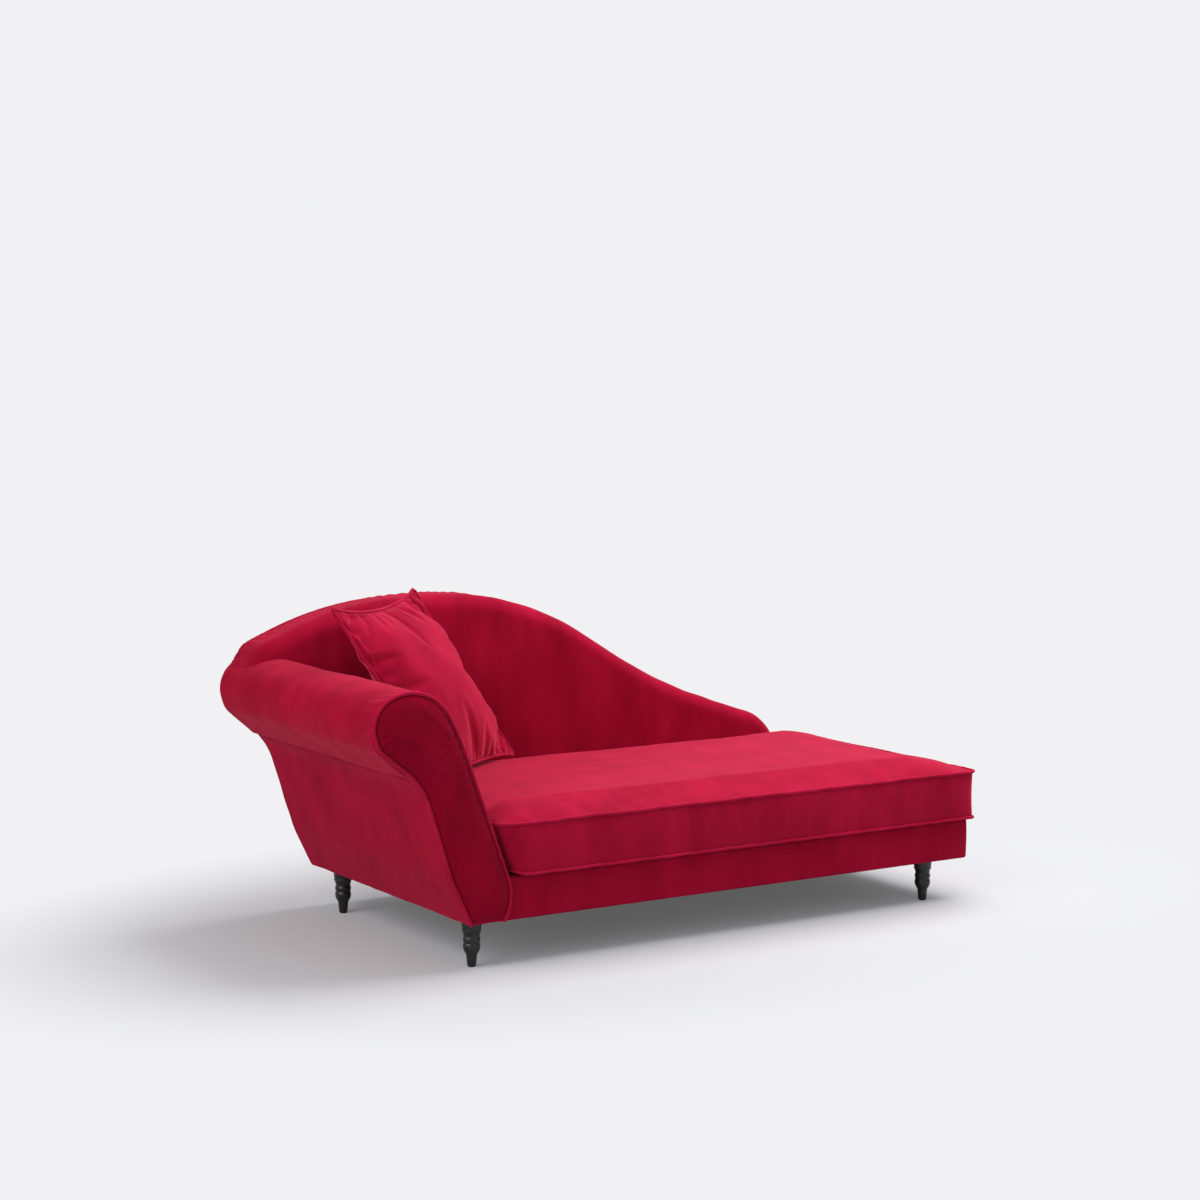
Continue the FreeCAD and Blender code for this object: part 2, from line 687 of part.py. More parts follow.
def cushion_piping(height, x_head):
    """A closed loop of piping round one seam of the cushion."""
    b = cushion_bounds(0)
    out = piping_radius + cushion_piping_room
    x0, x1 = x_head - out, b["x_foot"] + out
    y0, y1 = b["y_front"] - out, b["y_back"] + out
    r = out + 1.0
    v = FreeCAD.Vector
    k = r * (1 - math.sqrt(0.5))
    pieces = [
        Part.LineSegment(v(x0 + r, y0, height), v(x1 - r, y0, height)),
        Part.Arc(v(x1 - r, y0, height), v(x1 - k, y0 + k, height), v(x1, y0 + r, height)),
        Part.LineSegment(v(x1, y0 + r, height), v(x1, y1 - r, height)),
        Part.Arc(v(x1, y1 - r, height), v(x1 - k, y1 - k, height), v(x1 - r, y1, height)),
        Part.LineSegment(v(x1 - r, y1, height), v(x0 + r, y1, height)),
        Part.Arc(v(x0 + r, y1, height), v(x0 + k, y1 - k, height), v(x0, y1 - r, height)),
        Part.LineSegment(v(x0, y1 - r, height), v(x0, y0 + r, height)),
        Part.Arc(v(x0, y0 + r, height), v(x0 + k, y0 + k, height), v(x0 + r, y0, height)),
    ]
    return pipe_along([p.toShape() for p in pieces], piping_radius, v(0, 0, 1)).Solids[0]


def seat_cushion():
    """The loose cushion: foam core, velvet cover and the piping of both seams."""
    b = cushion_bounds(0)
    nodes = {}
    nodes["seat_cushion_foam"] = cushion_form(fabric + clear).Solids[0]
    nodes["seat_cushion_cover"] = one(cushion_form(0).cut(cushion_form(fabric)))
    nodes["seat_cushion_piping_top"] = cushion_piping(b["z_high"], b["x_high"])
    nodes["seat_cushion_piping_bottom"] = cushion_piping(b["z_low"], b["x_low"])
    return nodes


def scatter_frame():
    """The corners of the seam and the direction that the cushion faces."""
    seat = cushion_seam_top()
    corners = []
    for x, forward, above in (scatter_top_left, scatter_top_right, scatter_low_right):
        corners.append(FreeCAD.Vector(x, seat_depth - forward, seat + above))
    top_left, top_right, low_right = corners
    low_left = top_left + low_right - top_right
    out = (top_right - low_left).cross(top_left - low_right)
    out.normalize()
    return top_left, top_right, low_right, low_left, out


def scatter_plane():
    """Unit directions along the seam's lower side and square to it, and the seam's lean and height."""
    top_left, top_right, low_right, low_left, out = scatter_frame()
    across = top_right - top_left
    width = across.Length
    across.normalize()
    upward = out.cross(across)
    rise = top_left - low_left
    return across, upward, width, rise.dot(across), rise.dot(upward)


def scatter_dip():
    """The seam's drawn-in sides as a broad arc between two straights: vertex depth, reach and radius."""
    width = scatter_plane()[2]
    reach = width / 2 - 2 * scatter_corner
    depth = scatter_draw / (1 - reach / width)
    return depth, reach, reach / (depth / (width / 2))


def scatter_swell(share):
    """How far the cushion bulges at a station, as a share of its belly."""
    return max(0.07, (1 - (2 * share - 1) ** 4) ** 0.75)


def scatter_bow(share):
    """How far the seam is drawn in at a station."""
    width = scatter_plane()[2]
    depth, reach, radius = scatter_dip()
    off = abs(share - 0.5) * width
    steep = depth / (width / 2)
    if off > reach:
        return steep * (width / 2 - off)
    return steep * (width / 2 - reach) + math.sqrt(radius ** 2 - off ** 2) - math.sqrt(radius ** 2 - reach ** 2)


def between_stations(measure, share):
    """A measure taken straight between the stations on either side, as the cover is."""
    for before, after in zip(scatter_stations, scatter_stations[1:]):
        if share <= after:
            part = (share - before) / (after - before)
            return measure(before) * (1 - part) + measure(after) * part


def scatter_section(share, inset):
    """Points round a lens across the cushion, from its lower seam to its upper one and back."""
    top_left, top_right, low_right, low_left, out = scatter_frame()
    upward = scatter_plane()[1]
    top = top_left + (top_right - top_left) * share
    low = low_left + (low_right - low_left) * share
    trim = between_stations(scatter_bow, share) + inset * 2.5
    top = top - upward * trim
    low = low + upward * trim
    middle = (top + low) * 0.5
    belly = scatter_belly * between_stations(scatter_swell, share) - inset
    front = Part.Arc(low, middle + out * belly, top)
    rear = Part.Arc(top, middle - out * belly, low)
    return front.discretize(scatter_sides) + rear.discretize(scatter_sides)[1:-1]


def scatter_form(inset):
    """The cushion between its sections, with flat three-sided faces that all fold outwards."""
    width = scatter_plane()[2]
    low_left, out = scatter_frame()[3:]

    def off_seam(one_end, other_end):
        return sum(abs((point - low_left).dot(out)) for point in (one_end, other_end))

    margin = inset * 1.5 / width
    sections = [scatter_section(margin + s * (1 - 2 * margin), inset) for s in scatter_stations]
    faces = [Part.Face(Part.makePolygon(ring + ring[:1])) for ring in (sections[0], sections[-1])]
    for near, following in zip(sections, sections[1:]):
        for k in range(len(near)):
            a, b = near[k - 1], near[k]
            c, d = following[k - 1], following[k]
            if off_seam(b, c) > off_seam(a, d):
                halves = [[a, b, c, a], [b, d, c, b]]
            else:
                halves = [[a, b, d, a], [a, d, c, a]]
            faces += [Part.Face(Part.makePolygon(half)) for half in halves]
    return Part.makeSolid(Part.makeShell(faces))


def scatter_piping():
    """The piping round the seam of the scatter cushion: two straight sides and two drawn in."""
    low_left = scatter_frame()[3]
    across, upward, width, lean, height = scatter_plane()
    depth, reach, radius = scatter_dip()
    offset = scatter_piping_radius + scatter_piping_room
    side = offset * math.hypot(lean, height) / height
    shift = lean / height * offset
    half = width / 2
    corners = [
        (-side - shift, -offset, scatter_corner),
        (-side + shift + lean, height + offset, scatter_corner),
        (half + lean, height + offset - depth, radius),
        (width + side + shift + lean, height + offset, scatter_corner),
        (width + side - shift, -offset, scatter_corner),
        (half, depth - offset, radius),
    ]

    def place(point):
        return low_left + across * point[0] + upward * point[1]

    out = scatter_frame()[4]
    return pipe_along(tangent_edges(corners, True, place), scatter_piping_radius, out)


def scatter_cushion():
    nodes = {}
    nodes["scatter_filling"] = scatter_form(scatter_wall + scatter_fill_room)
    nodes["scatter_cover"] = one(scatter_form(0).cut(scatter_form(scatter_wall)))
    nodes["scatter_piping"] = scatter_piping().Solids[0]
    return nodes


def row_origin():
    """The middle of the floor area under the whole piece."""
    left = arm_face(0).BoundBox.XMin
    piped = 2 * piping_radius + cushion_piping_room
    right = base_length + cushion_foot_over + piped
    front = -cushion_front_over - piped
    return FreeCAD.Vector((left + right) / 2, (front + base_depth) / 2, 0)


def main():
    os.makedirs("parts", exist_ok=True)
    nodes = {}
    for make in (base_frame, legs, webbing, base_covers, arm_layers, arm_front, back_layers,
                 seat_cushion, scatter_cushion):
        nodes.update(make())
        print(make.__name__, "done")
    origin = row_origin()
    for name, shape in nodes.items():
        shape.translate(origin * -1)
        if not shape.isValid():
            print("not valid:", name)
        shape.exportStep("parts/" + name + ".step")
    print(len(nodes), "nodes, origin", origin)


main()
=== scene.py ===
import json
import math

import bmesh
import bpy
import numpy as np
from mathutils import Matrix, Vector


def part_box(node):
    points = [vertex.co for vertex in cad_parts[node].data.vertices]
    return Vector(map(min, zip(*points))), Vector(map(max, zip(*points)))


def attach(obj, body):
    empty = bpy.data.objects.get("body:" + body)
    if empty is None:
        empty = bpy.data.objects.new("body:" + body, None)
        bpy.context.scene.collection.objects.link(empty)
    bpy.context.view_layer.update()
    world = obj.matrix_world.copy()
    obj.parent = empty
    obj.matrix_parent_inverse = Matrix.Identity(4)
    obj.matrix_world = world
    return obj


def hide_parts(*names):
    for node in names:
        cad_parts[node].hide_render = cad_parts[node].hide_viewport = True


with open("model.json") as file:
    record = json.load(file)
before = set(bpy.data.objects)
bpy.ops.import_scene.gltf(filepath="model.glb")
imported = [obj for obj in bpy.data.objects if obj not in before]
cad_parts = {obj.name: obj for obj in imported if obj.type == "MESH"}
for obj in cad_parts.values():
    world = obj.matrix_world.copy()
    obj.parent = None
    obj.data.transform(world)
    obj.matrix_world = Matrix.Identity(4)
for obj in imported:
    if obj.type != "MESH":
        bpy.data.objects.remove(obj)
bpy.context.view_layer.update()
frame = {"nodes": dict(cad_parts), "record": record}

# The frame: where the base starts, in metres
floorToBase = 0.120
baseTop = 0.234
baseLength = 1.649
baseDepth = 0.928
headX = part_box("base_cover")[1].x - baseLength
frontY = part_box("base_cover")[0].y


# Frame place of a point measured from the base's head end, its front and the floor.
def spot(x, y, z):
    return Vector((headX + x, frontY + y, z))


# Camera, floor and light

cameraView = {
    "place": (-3.1028, -5.5483, 1.5846),   # from the base's head-end front corner
    "azimuth": -32.2,
    "elevation": 5.65,
    "lens": 75.96,
}

studio = {
    "backdrop": "#F1F1F3",
    "floor": "#BFC0C3",
    "world": 0.42,
    "near": 0.9, "far": 1.75,               # the floor fades into the backdrop between these distances
    "oval": (0.8, 1.25, 1.0),               # the distances are stretched along the piece
    "paintedShadowLift": 0.11,                           # share of the backdrop's tone that lightens the shadows
    "lamps": (                              # name, place, target, size, power
        ("overheadSoftbox", (1.5, -0.2, 3.1), (0.4, 0, 0), 2.8, 140.0),
        ("frontSoftbox", (0.6, -4.6, 2.4), (0, 0, 0.4), 2.6, 16.0),
        ("leftSoftbox", (-3.4, -0.8, 2.2), (-0.6, 0, 0.4), 3.2, 88.0),
        ("rightSoftbox", (3.8, 0.2, 3.4), (0.3, 0, 0.4), 3.6, 26.0),
    ),
}


# sRGB hex to the linear values that Blender's sockets hold.
def colour(hexCode):
    values = []
    for i in (1, 3, 5):
        c = int(hexCode[i:i + 2], 16) / 255
        values.append(c / 12.92 if c <= 0.04045 else ((c + 0.055) / 1.055) ** 2.4)
    return (*values, 1.0)


def addNode(tree, kind, inputs=None, **settings):
    node = tree.nodes.new(kind)
    for key, value in settings.items():
        setattr(node, key, value)
    for key, value in (inputs or {}).items():
        if isinstance(value, bpy.types.NodeSocket):
            tree.links.new(value, node.inputs[key])
        else:
            node.inputs[key].default_value = value
    return node


def newMaterial(name):
    material = bpy.data.materials.new(name)
    material.use_nodes = True
    tree = material.node_tree
    return material, tree, tree.nodes["Principled BSDF"]


def setUpCamera():
    data = bpy.data.cameras.new("photoCamera")
    camera = bpy.data.objects.new("photoCamera", data)
    bpy.context.scene.collection.objects.link(camera)
    data.lens = cameraView["lens"]
    data.sensor_width = 36.0
    data.clip_end = 60.0
    camera.location = spot(*cameraView["place"])
    tilt = math.radians(90 - cameraView["elevation"])
    camera.rotation_euler = (tilt, 0, math.radians(cameraView["azimuth"]))
    bpy.context.scene.camera = camera


# Pale and lit near the piece, where a small share of glow in the backdrop's tone is painted light that
# lightens its shadows, and the same tone as the backdrop further away.
def paleSurface():
    material, tree, shader = newMaterial("paleStudioFloor")
    shader.inputs["Base Color"].default_value = colour(studio["floor"])
    shader.inputs["Roughness"].default_value = 0.9
    shader.inputs["Specular IOR Level"].default_value = 0.0
    place = addNode(tree, "ShaderNodeTexCoord").outputs["Object"]
    oval = addNode(tree, "ShaderNodeMapping", {"Vector": place, "Scale": studio["oval"]})
    reach = addNode(tree, "ShaderNodeVectorMath", {0: oval.outputs[0]}, operation="LENGTH")
    fade = addNode(tree, "ShaderNodeMapRange",
                   {"Value": reach.outputs["Value"], "From Min": studio["near"], "From Max": studio["far"],
                    "To Min": studio["paintedShadowLift"]},
                   interpolation_type="SMOOTHSTEP")
    seen = addNode(tree, "ShaderNodeLightPath")
    share = addNode(tree, "ShaderNodeMath", {0: fade.outputs[0], 1: seen.outputs["Is Camera Ray"]},
                    operation="MULTIPLY")
    glow = addNode(tree, "ShaderNodeEmission", {"Color": colour(studio["backdrop"]), "Strength": 1.0})
    mix = addNode(tree, "ShaderNodeMixShader",
                  {0: share.outputs[0], 1: shader.outputs[0], 2: glow.outputs[0]})
    tree.links.new(mix.outputs[0], tree.nodes["Material Output"].inputs[0])
    return material


def setUpStudio():
    bpy.context.scene.view_settings.view_transform = "Standard"
    bpy.ops.mesh.primitive_plane_add(size=60, location=(0, 0, 0))
    floor = bpy.context.object
    floor.name = "studioFloor"
    floor.data.materials.append(paleSurface())

    world = bpy.data.worlds.new("softStudio")
    bpy.context.scene.world = world
    world.use_nodes = True
    tree = world.node_tree
    plain = tree.nodes["Background"]
    plain.inputs[0].default_value = (1, 1, 1, 1)
    plain.inputs[1].default_value = studio["world"]
    backdrop = addNode(tree, "ShaderNodeBackground", {0: colour(studio["backdrop"]), 1: 1.0})
    seen = addNode(tree, "ShaderNodeLightPath")
    mix = addNode(tree, "ShaderNodeMixShader",
                  {0: seen.outputs["Is Camera Ray"], 1: plain.outputs[0], 2: backdrop.outputs[0]})
    tree.links.new(mix.outputs[0], tree.nodes["World Output"].inputs[0])

    for name, place, target, size, power in studio["lamps"]:
        data = bpy.data.lights.new(name, "AREA")
        data.shape = "SQUARE"
        data.size = size
        data.energy = power
        lamp = bpy.data.objects.new(name, data)
        lamp.location = place
        lamp.rotation_euler = (Vector(target) - Vector(place)).to_track_quat("-Z", "Y").to_euler()
        bpy.context.scene.collection.objects.link(lamp)


# Materials

velvetLook = {
    "patches": (9, 9, 3.2),         # brushed patches, about 0.11 m wide and 0.31 m tall
    "pileTips": 1100.0,             # about 0.9 mm across, coarser than real pile so that they show
    "speckle": 0.22,                # how much the tips darken the colour
    "dents": 70.0,                  # shallow dents about 14 mm across
    "roughness": 0.86,
    "specular": 0.02,
    "sheenRoughness": 0.38,
    "sheenTint": "#FF5A78",
}

velvetShades = {                        # deep colour, lit colour, how strongly the pile catches the light
    "crimsonVelvet": ("#8C0825", "#A80F33", 0.44),
    # a lighter copy with more sheen for the two loose cushions; its lighter colours are painted light
    "crimsonVelvetPaintedLighter": ("#930A2A", "#B01339", 0.95),     # the two loose cushions
    # a darker copy for the panel on the front of the arm; its darker colours are painted shade
    "crimsonVelvetPaintedDarker": ("#7C0620", "#97092B", 0.38),   # the panel on the front of the arm
    # a lighter copy for the piping; its lighter colours are a painted highlight along the cord
    "crimsonVelvetPiping": ("#9A0C2D", "#BC1841", 0.8),
}


# Crimson velvet: short pile, darker where it is seen straight on, pale at the turn of a fold.
def velvetMaterial(name):
    deep, lit, pile = velvetShades[name]
    material, tree, shader = newMaterial(name)
    place = addNode(tree, "ShaderNodeTexCoord").outputs["Object"]
    brushed = addNode(tree, "ShaderNodeMapping", {"Vector": place, "Scale": velvetLook["patches"]})
    patches = addNode(tree, "ShaderNodeTexNoise",
                      {"Vector": brushed.outputs[0], "Scale": 1.0, "Detail": 5.0, "Roughness": 0.62})
    tone = addNode(tree, "ShaderNodeMapRange",
                   {"Value": patches.outputs["Fac"], "From Min": 0.3, "From Max": 0.7})
    ramp = addNode(tree, "ShaderNodeMix",
                   {"Factor": tone.outputs[0], "A": colour(deep), "B": colour(lit)},
                   data_type="RGBA")
    tips = addNode(tree, "ShaderNodeTexNoise",
                   {"Vector": place, "Scale": velvetLook["pileTips"], "Detail": 2.0})
    speckle = addNode(tree, "ShaderNodeMix",
                      {"Factor": velvetLook["speckle"],
                       "A": ramp.outputs["Result"], "B": tips.outputs["Color"]},
                      data_type="RGBA", blend_type="MULTIPLY")
    tree.links.new(speckle.outputs["Result"], shader.inputs["Base Color"])
    shader.inputs["Roughness"].default_value = velvetLook["roughness"]
    shader.inputs["Specular IOR Level"].default_value = velvetLook["specular"]
    shader.inputs["Sheen Weight"].default_value = pile
    shader.inputs["Sheen Roughness"].default_value = velvetLook["sheenRoughness"]
    shader.inputs["Sheen Tint"].default_value = colour(velvetLook["sheenTint"])
    dents = addNode(tree, "ShaderNodeTexNoise",
                    {"Vector": place, "Scale": velvetLook["dents"], "Detail": 4.0})
    low = addNode(tree, "ShaderNodeBump",
                  {"Height": dents.outputs["Fac"], "Strength": 0.16, "Distance": 0.004})
    high = addNode(tree, "ShaderNodeBump",
                   {"Height": tips.outputs["Fac"], "Strength": 0.3, "Distance": 0.0006,
                    "Normal": low.outputs[0]})
    tree.links.new(high.outputs[0], shader.inputs["Normal"])
    return material


# Satin black lacquer over turned beech: fine upright grain shows faintly through the gloss.
def lacquerMaterial():
    material, tree, shader = newMaterial("satinBlackLacquer")
    place = addNode(tree, "ShaderNodeTexCoord").outputs["Object"]
    grain = addNode(tree, "ShaderNodeMapping", {"Vector": place, "Scale": (180, 180, 14)})
    pores = addNode(tree, "ShaderNodeTexNoise", {"Vector": grain.outputs[0], "Scale": 1.0, "Detail": 6.0})
    tone = addNode(tree, "ShaderNodeMix",
                   {"Factor": pores.outputs["Fac"], "A": colour("#0B0A0B"), "B": colour("#1A1617")},
                   data_type="RGBA")
    tree.links.new(tone.outputs["Result"], shader.inputs["Base Color"])
    sheen = addNode(tree, "ShaderNodeMapRange",
                    {"Value": pores.outputs["Fac"], "To Min": 0.26, "To Max": 0.42})
    tree.links.new(sheen.outputs[0], shader.inputs["Roughness"])
    bump = addNode(tree, "ShaderNodeBump",
                   {"Height": pores.outputs["Fac"], "Strength": 0.12, "Distance": 0.0004})
    tree.links.new(bump.outputs[0], shader.inputs["Normal"])
    return material


# Sawn timber or ply: long grain in two tones, about 160 mm by 11 mm in the timber.
def grainMaterial(name, dark, pale, stretch, rough):
    material, tree, shader = newMaterial(name)
    place = addNode(tree, "ShaderNodeTexCoord").outputs["Object"]
    grain = addNode(tree, "ShaderNodeMapping", {"Vector": place, "Scale": stretch})
    rings = addNode(tree, "ShaderNodeTexNoise",
                    {"Vector": grain.outputs[0], "Scale": 1.0, "Detail": 8.0, "Distortion": 0.6})
    tone = addNode(tree, "ShaderNodeMix",
                   {"Factor": rings.outputs["Fac"], "A": colour(dark), "B": colour(pale)},
                   data_type="RGBA")
    tree.links.new(tone.outputs["Result"], shader.inputs["Base Color"])
    shader.inputs["Roughness"].default_value = rough
    bump = addNode(tree, "ShaderNodeBump",
                   {"Height": rings.outputs["Fac"], "Strength": 0.2, "Distance": 0.0008})
    tree.links.new(bump.outputs[0], shader.inputs["Normal"])
    return material


# Plain weave: two crossed sets of threads about 1 mm apart.
def wovenMaterial(name, dark, pale, threads, rough):
    material, tree, shader = newMaterial(name)
    place = addNode(tree, "ShaderNodeTexCoord").outputs["Object"]
    along = addNode(tree, "ShaderNodeTexWave", {"Vector": place, "Scale": threads}, bands_direction="X")
    across = addNode(tree, "ShaderNodeTexWave", {"Vector": place, "Scale": threads}, bands_direction="Y")
    weave = addNode(tree, "ShaderNodeMath", {0: along.outputs["Fac"], 1: across.outputs["Fac"]},
                    operation="MULTIPLY")
    tone = addNode(tree, "ShaderNodeMix",
                   {"Factor": weave.outputs[0], "A": colour(dark), "B": colour(pale)},
                   data_type="RGBA")
    tree.links.new(tone.outputs["Result"], shader.inputs["Base Color"])
    shader.inputs["Roughness"].default_value = rough
    bump = addNode(tree, "ShaderNodeBump",
                   {"Height": weave.outputs[0], "Strength": 0.35, "Distance": 0.0006})
    tree.links.new(bump.outputs[0], shader.inputs["Normal"])
    return material


# Open-cell upholstery foam: pale cells about 1 mm across.
def foamMaterial():
    material, tree, shader = newMaterial("upholsteryFoam")
    place = addNode(tree, "ShaderNodeTexCoord").outputs["Object"]
    cells = addNode(tree, "ShaderNodeTexVoronoi", {"Vector": place, "Scale": 900.0})
    tone = addNode(tree, "ShaderNodeMix",
                   {"Factor": cells.outputs["Distance"], "A": colour("#D9CDA0"), "B": colour("#EFE7C6")},
                   data_type="RGBA")
    tree.links.new(tone.outputs["Result"], shader.inputs["Base Color"])
    shader.inputs["Roughness"].default_value = 0.95
    return material


# Zinc-plated steel with a slight mottle.
def metalMaterial():
    material, tree, shader = newMaterial("zincPlatedSteel")
    place = addNode(tree, "ShaderNodeTexCoord").outputs["Object"]
    mottle = addNode(tree, "ShaderNodeTexNoise", {"Vector": place, "Scale": 260.0, "Detail": 4.0})
    shader.inputs["Metallic"].default_value = 1.0
    shader.inputs["Base Color"].default_value = colour("#B9BCC0")
    sheen = addNode(tree, "ShaderNodeMapRange",
                    {"Value": mottle.outputs["Fac"], "To Min": 0.25, "To Max": 0.5})
    tree.links.new(sheen.outputs[0], shader.inputs["Roughness"])
    return material


# Moulded black nylon.
def glideMaterial():
    material, tree, shader = newMaterial("mouldedNylon")
    place = addNode(tree, "ShaderNodeTexCoord").outputs["Object"]
    mould = addNode(tree, "ShaderNodeTexNoise", {"Vector": place, "Scale": 700.0, "Detail": 2.0})
    bump = addNode(tree, "ShaderNodeBump",
                   {"Height": mould.outputs["Fac"], "Strength": 0.1, "Distance": 0.0003})
    tree.links.new(bump.outputs[0], shader.inputs["Normal"])
    shader.inputs["Base Color"].default_value = colour("#161617")
    shader.inputs["Roughness"].default_value = 0.5
    return material


# Mesh helpers

def onlySelect(obj):
    bpy.ops.object.select_all(action="DESELECT")
    obj.select_set(True)
    bpy.context.view_layer.objects.active = obj


def readPoints(obj):
    points = np.empty(len(obj.data.vertices) * 3)
    obj.data.vertices.foreach_get("co", points)
    return points.reshape(-1, 3)


def writePoints(obj, points):
    obj.data.vertices.foreach_set("co", np.ascontiguousarray(points, dtype=float).ravel())
    obj.data.update()


def readNormals(obj):
    normals = np.empty(len(obj.data.vertices) * 3)
    obj.data.vertex_normals.foreach_get("vector", normals)
    return normals.reshape(-1, 3)


# Points along straight sides joined by tangent arcs. A corner is (across, up, radius).
def roundedLine(corners, closed=True, step=0.008):
    count = len(corners)
    line = []
    for i, (x, z, radius) in enumerate(corners):
        before, after = corners[i - 1], corners[(i + 1) % count]
        if radius <= 0 or (not closed and i in (0, count - 1)):
            line.append((x, z))
            continue
        a = np.array([before[0] - x, before[1] - z])
        b = np.array([after[0] - x, after[1] - z])
        a /= np.linalg.norm(a)
        b /= np.linalg.norm(b)
        half = math.acos(max(-1, min(1, float(a @ b)))) / 2
        reach = radius / math.tan(half)
        middle = (a + b) / np.linalg.norm(a + b)
        centre = np.array([x, z]) + middle * radius / math.sin(half)
        start = np.array([x, z]) + a * reach - centre
        turn = math.pi - 2 * half
        sign = 1 if start[0] * (b - a)[1] - start[1] * (b - a)[0] > 0 else -1
        steps = max(2, int(turn * radius / step))
        for k in range(steps + 1):
            angle = sign * turn * k / steps
            c, s = math.cos(angle), math.sin(angle)
            across = centre[0] + start[0] * c - start[1] * s
            line.append((across, centre[1] + start[0] * s + start[1] * c))
    even = []
    total = len(line) if closed else len(line) - 1
    for i in range(total):
        a, b = np.array(line[i]), np.array(line[(i + 1) % len(line)])
        gap = np.linalg.norm(b - a)
        if gap < 1e-7:
            continue
        parts = max(1, int(gap / step))
        for k in range(parts):
            even.append(a + (b - a) * k / parts)
    if not closed:
        even.append(np.array(line[-1]))
    return np.array(even)


# The same outline moved inwards; the corners run clockwise seen from the front.
def insetCorners(corners, inset):
    count = len(corners)
    sides = []
    for i in range(count):
        a, b = np.array(corners[i][:2]), np.array(corners[(i + 1) % count][:2])
        d = (b - a) / np.linalg.norm(b - a)
        sides.append((a + np.array([d[1], -d[0]]) * inset, d))
    moved = []
    for i in range(count):
        (p, d), (q, e) = sides[i - 1], sides[i]
        cross = d[0] * e[1] - d[1] * e[0]
        t = ((q[0] - p[0]) * e[1] - (q[1] - p[1]) * e[0]) / cross
        radius = corners[i][2]
        if radius > 0:
            radius = max(radius - inset if cross < 0 else radius + inset, 0.001)
        moved.append((*(p + d * t), radius))
    return moved


# A flat outline in the upright plane, drawn out from front to rear.
def prism(name, outline, front, rear):
    bpy.ops.mesh.primitive_circle_add(vertices=len(outline), radius=1, fill_type="NGON")
    obj = bpy.context.object
    obj.name = name
    points = np.array([spot(x, front, z) for x, z in outline])
    writePoints(obj, points)
    onlySelect(obj)
    bpy.ops.object.mode_set(mode="EDIT")
    bpy.ops.mesh.select_all(action="SELECT")
    bpy.ops.mesh.extrude_region_move(TRANSFORM_OT_translate={"value": (0, rear - front, 0)})
    bpy.ops.mesh.select_all(action="SELECT")
    bpy.ops.mesh.normals_make_consistent(inside=False)
    bpy.ops.object.mode_set(mode="OBJECT")
    return obj


# Bevels the edges of a prism that lie in one upright plane.
def roundRim(obj, y, width, segments=6):
    onlySelect(obj)
    bpy.ops.object.mode_set(mode="EDIT")
    bpy.ops.mesh.select_all(action="DESELECT")
    bpy.ops.mesh.select_mode(type="EDGE")
    mesh = bmesh.from_edit_mesh(obj.data)
    for edge in mesh.edges:
        edge.select = all(abs(v.co.y - y) < 1e-4 for v in edge.verts)
    bmesh.update_edit_mesh(obj.data)
    bpy.ops.mesh.bevel(offset=width, segments=segments, affect="EDGES")
    bpy.ops.object.mode_set(mode="OBJECT")


# A unit box with so many cuts across each of its three directions.
def boxGrid(name, cuts):
    bpy.ops.mesh.primitive_cube_add(size=1, location=(0, 0, 0))
    obj = bpy.context.object
    obj.name = name
    onlySelect(obj)
    bpy.ops.object.mode_set(mode="EDIT")
    bpy.ops.mesh.select_mode(type="EDGE")
    for axis, count in enumerate(cuts):
        if not count:
            continue
        mesh = bmesh.from_edit_mesh(obj.data)
        for edge in mesh.edges:
            step = edge.verts[1].co - edge.verts[0].co
            edge.select = abs(step[axis]) > 0.999 * step.length
        bmesh.update_edit_mesh(obj.data)
        bpy.ops.mesh.subdivide(number_cuts=count)
    bpy.ops.object.mode_set(mode="OBJECT")
    return obj


# Even quads all over, then a light smoothing so that the sides stay flat.
def remeshed(obj, voxel, smooth):
    onlySelect(obj)
    obj.data.remesh_voxel_size = voxel
    obj.data.remesh_voxel_adaptivity = 0
    bpy.ops.object.voxel_remesh()
    modifier = obj.modifiers.new("even", "SMOOTH")
    modifier.factor = 0.5
    modifier.iterations = smooth
    bpy.ops.object.modifier_apply(modifier=modifier.name)
    bpy.ops.object.shade_smooth()


# Smooth, repeatable unevenness from a few plain waves, about -1 to 1.
def ripple(points, length, seed, waves=7):
    chance = np.random.default_rng(seed)
    total = np.zeros(len(points))
    for k in range(waves):
        direction = chance.normal(size=3)
        direction /= np.linalg.norm(direction)
        size = length * chance.uniform(0.6, 1.7)
        total += np.sin(points @ direction * (2 * math.pi / size) + chance.uniform(0, 2 * math.pi))
    return total / math.sqrt(waves)


# The sum of several such waves, each given as height, length and seed.
def uneven(points, waves):
    return sum(height * ripple(points, length, seed) for height, length, seed in waves)


# A soft ridge from start to end: 1 along the middle of the line, falling to 0 beside and past it.
def foldHeight(points, start, end, width):
    a, b = np.array(start), np.array(end)
    along = b - a
    length = np.linalg.norm(along)
    t = (points - a) @ along / length ** 2
    near = a + np.clip(t, 0, 1)[:, None] * along
    away = np.linalg.norm(points - near, axis=1)
    taper = np.clip(np.minimum(t + 0.12, 1.12 - t) / 0.3, 0, 1)
    return np.exp(-(away / width) ** 2) * taper * taper * (3 - 2 * taper)


# Raises or sinks soft ridges: each is start, end, width and height, measured as spot() is.
def addFolds(obj, folds):
    points, normals = readPoints(obj), readNormals(obj)
    lift = np.zeros(len(points))
    for start, end, width, height in folds:
        lift += height * foldHeight(points, spot(*start), spot(*end), width)
    writePoints(obj, points + normals * lift[:, None])


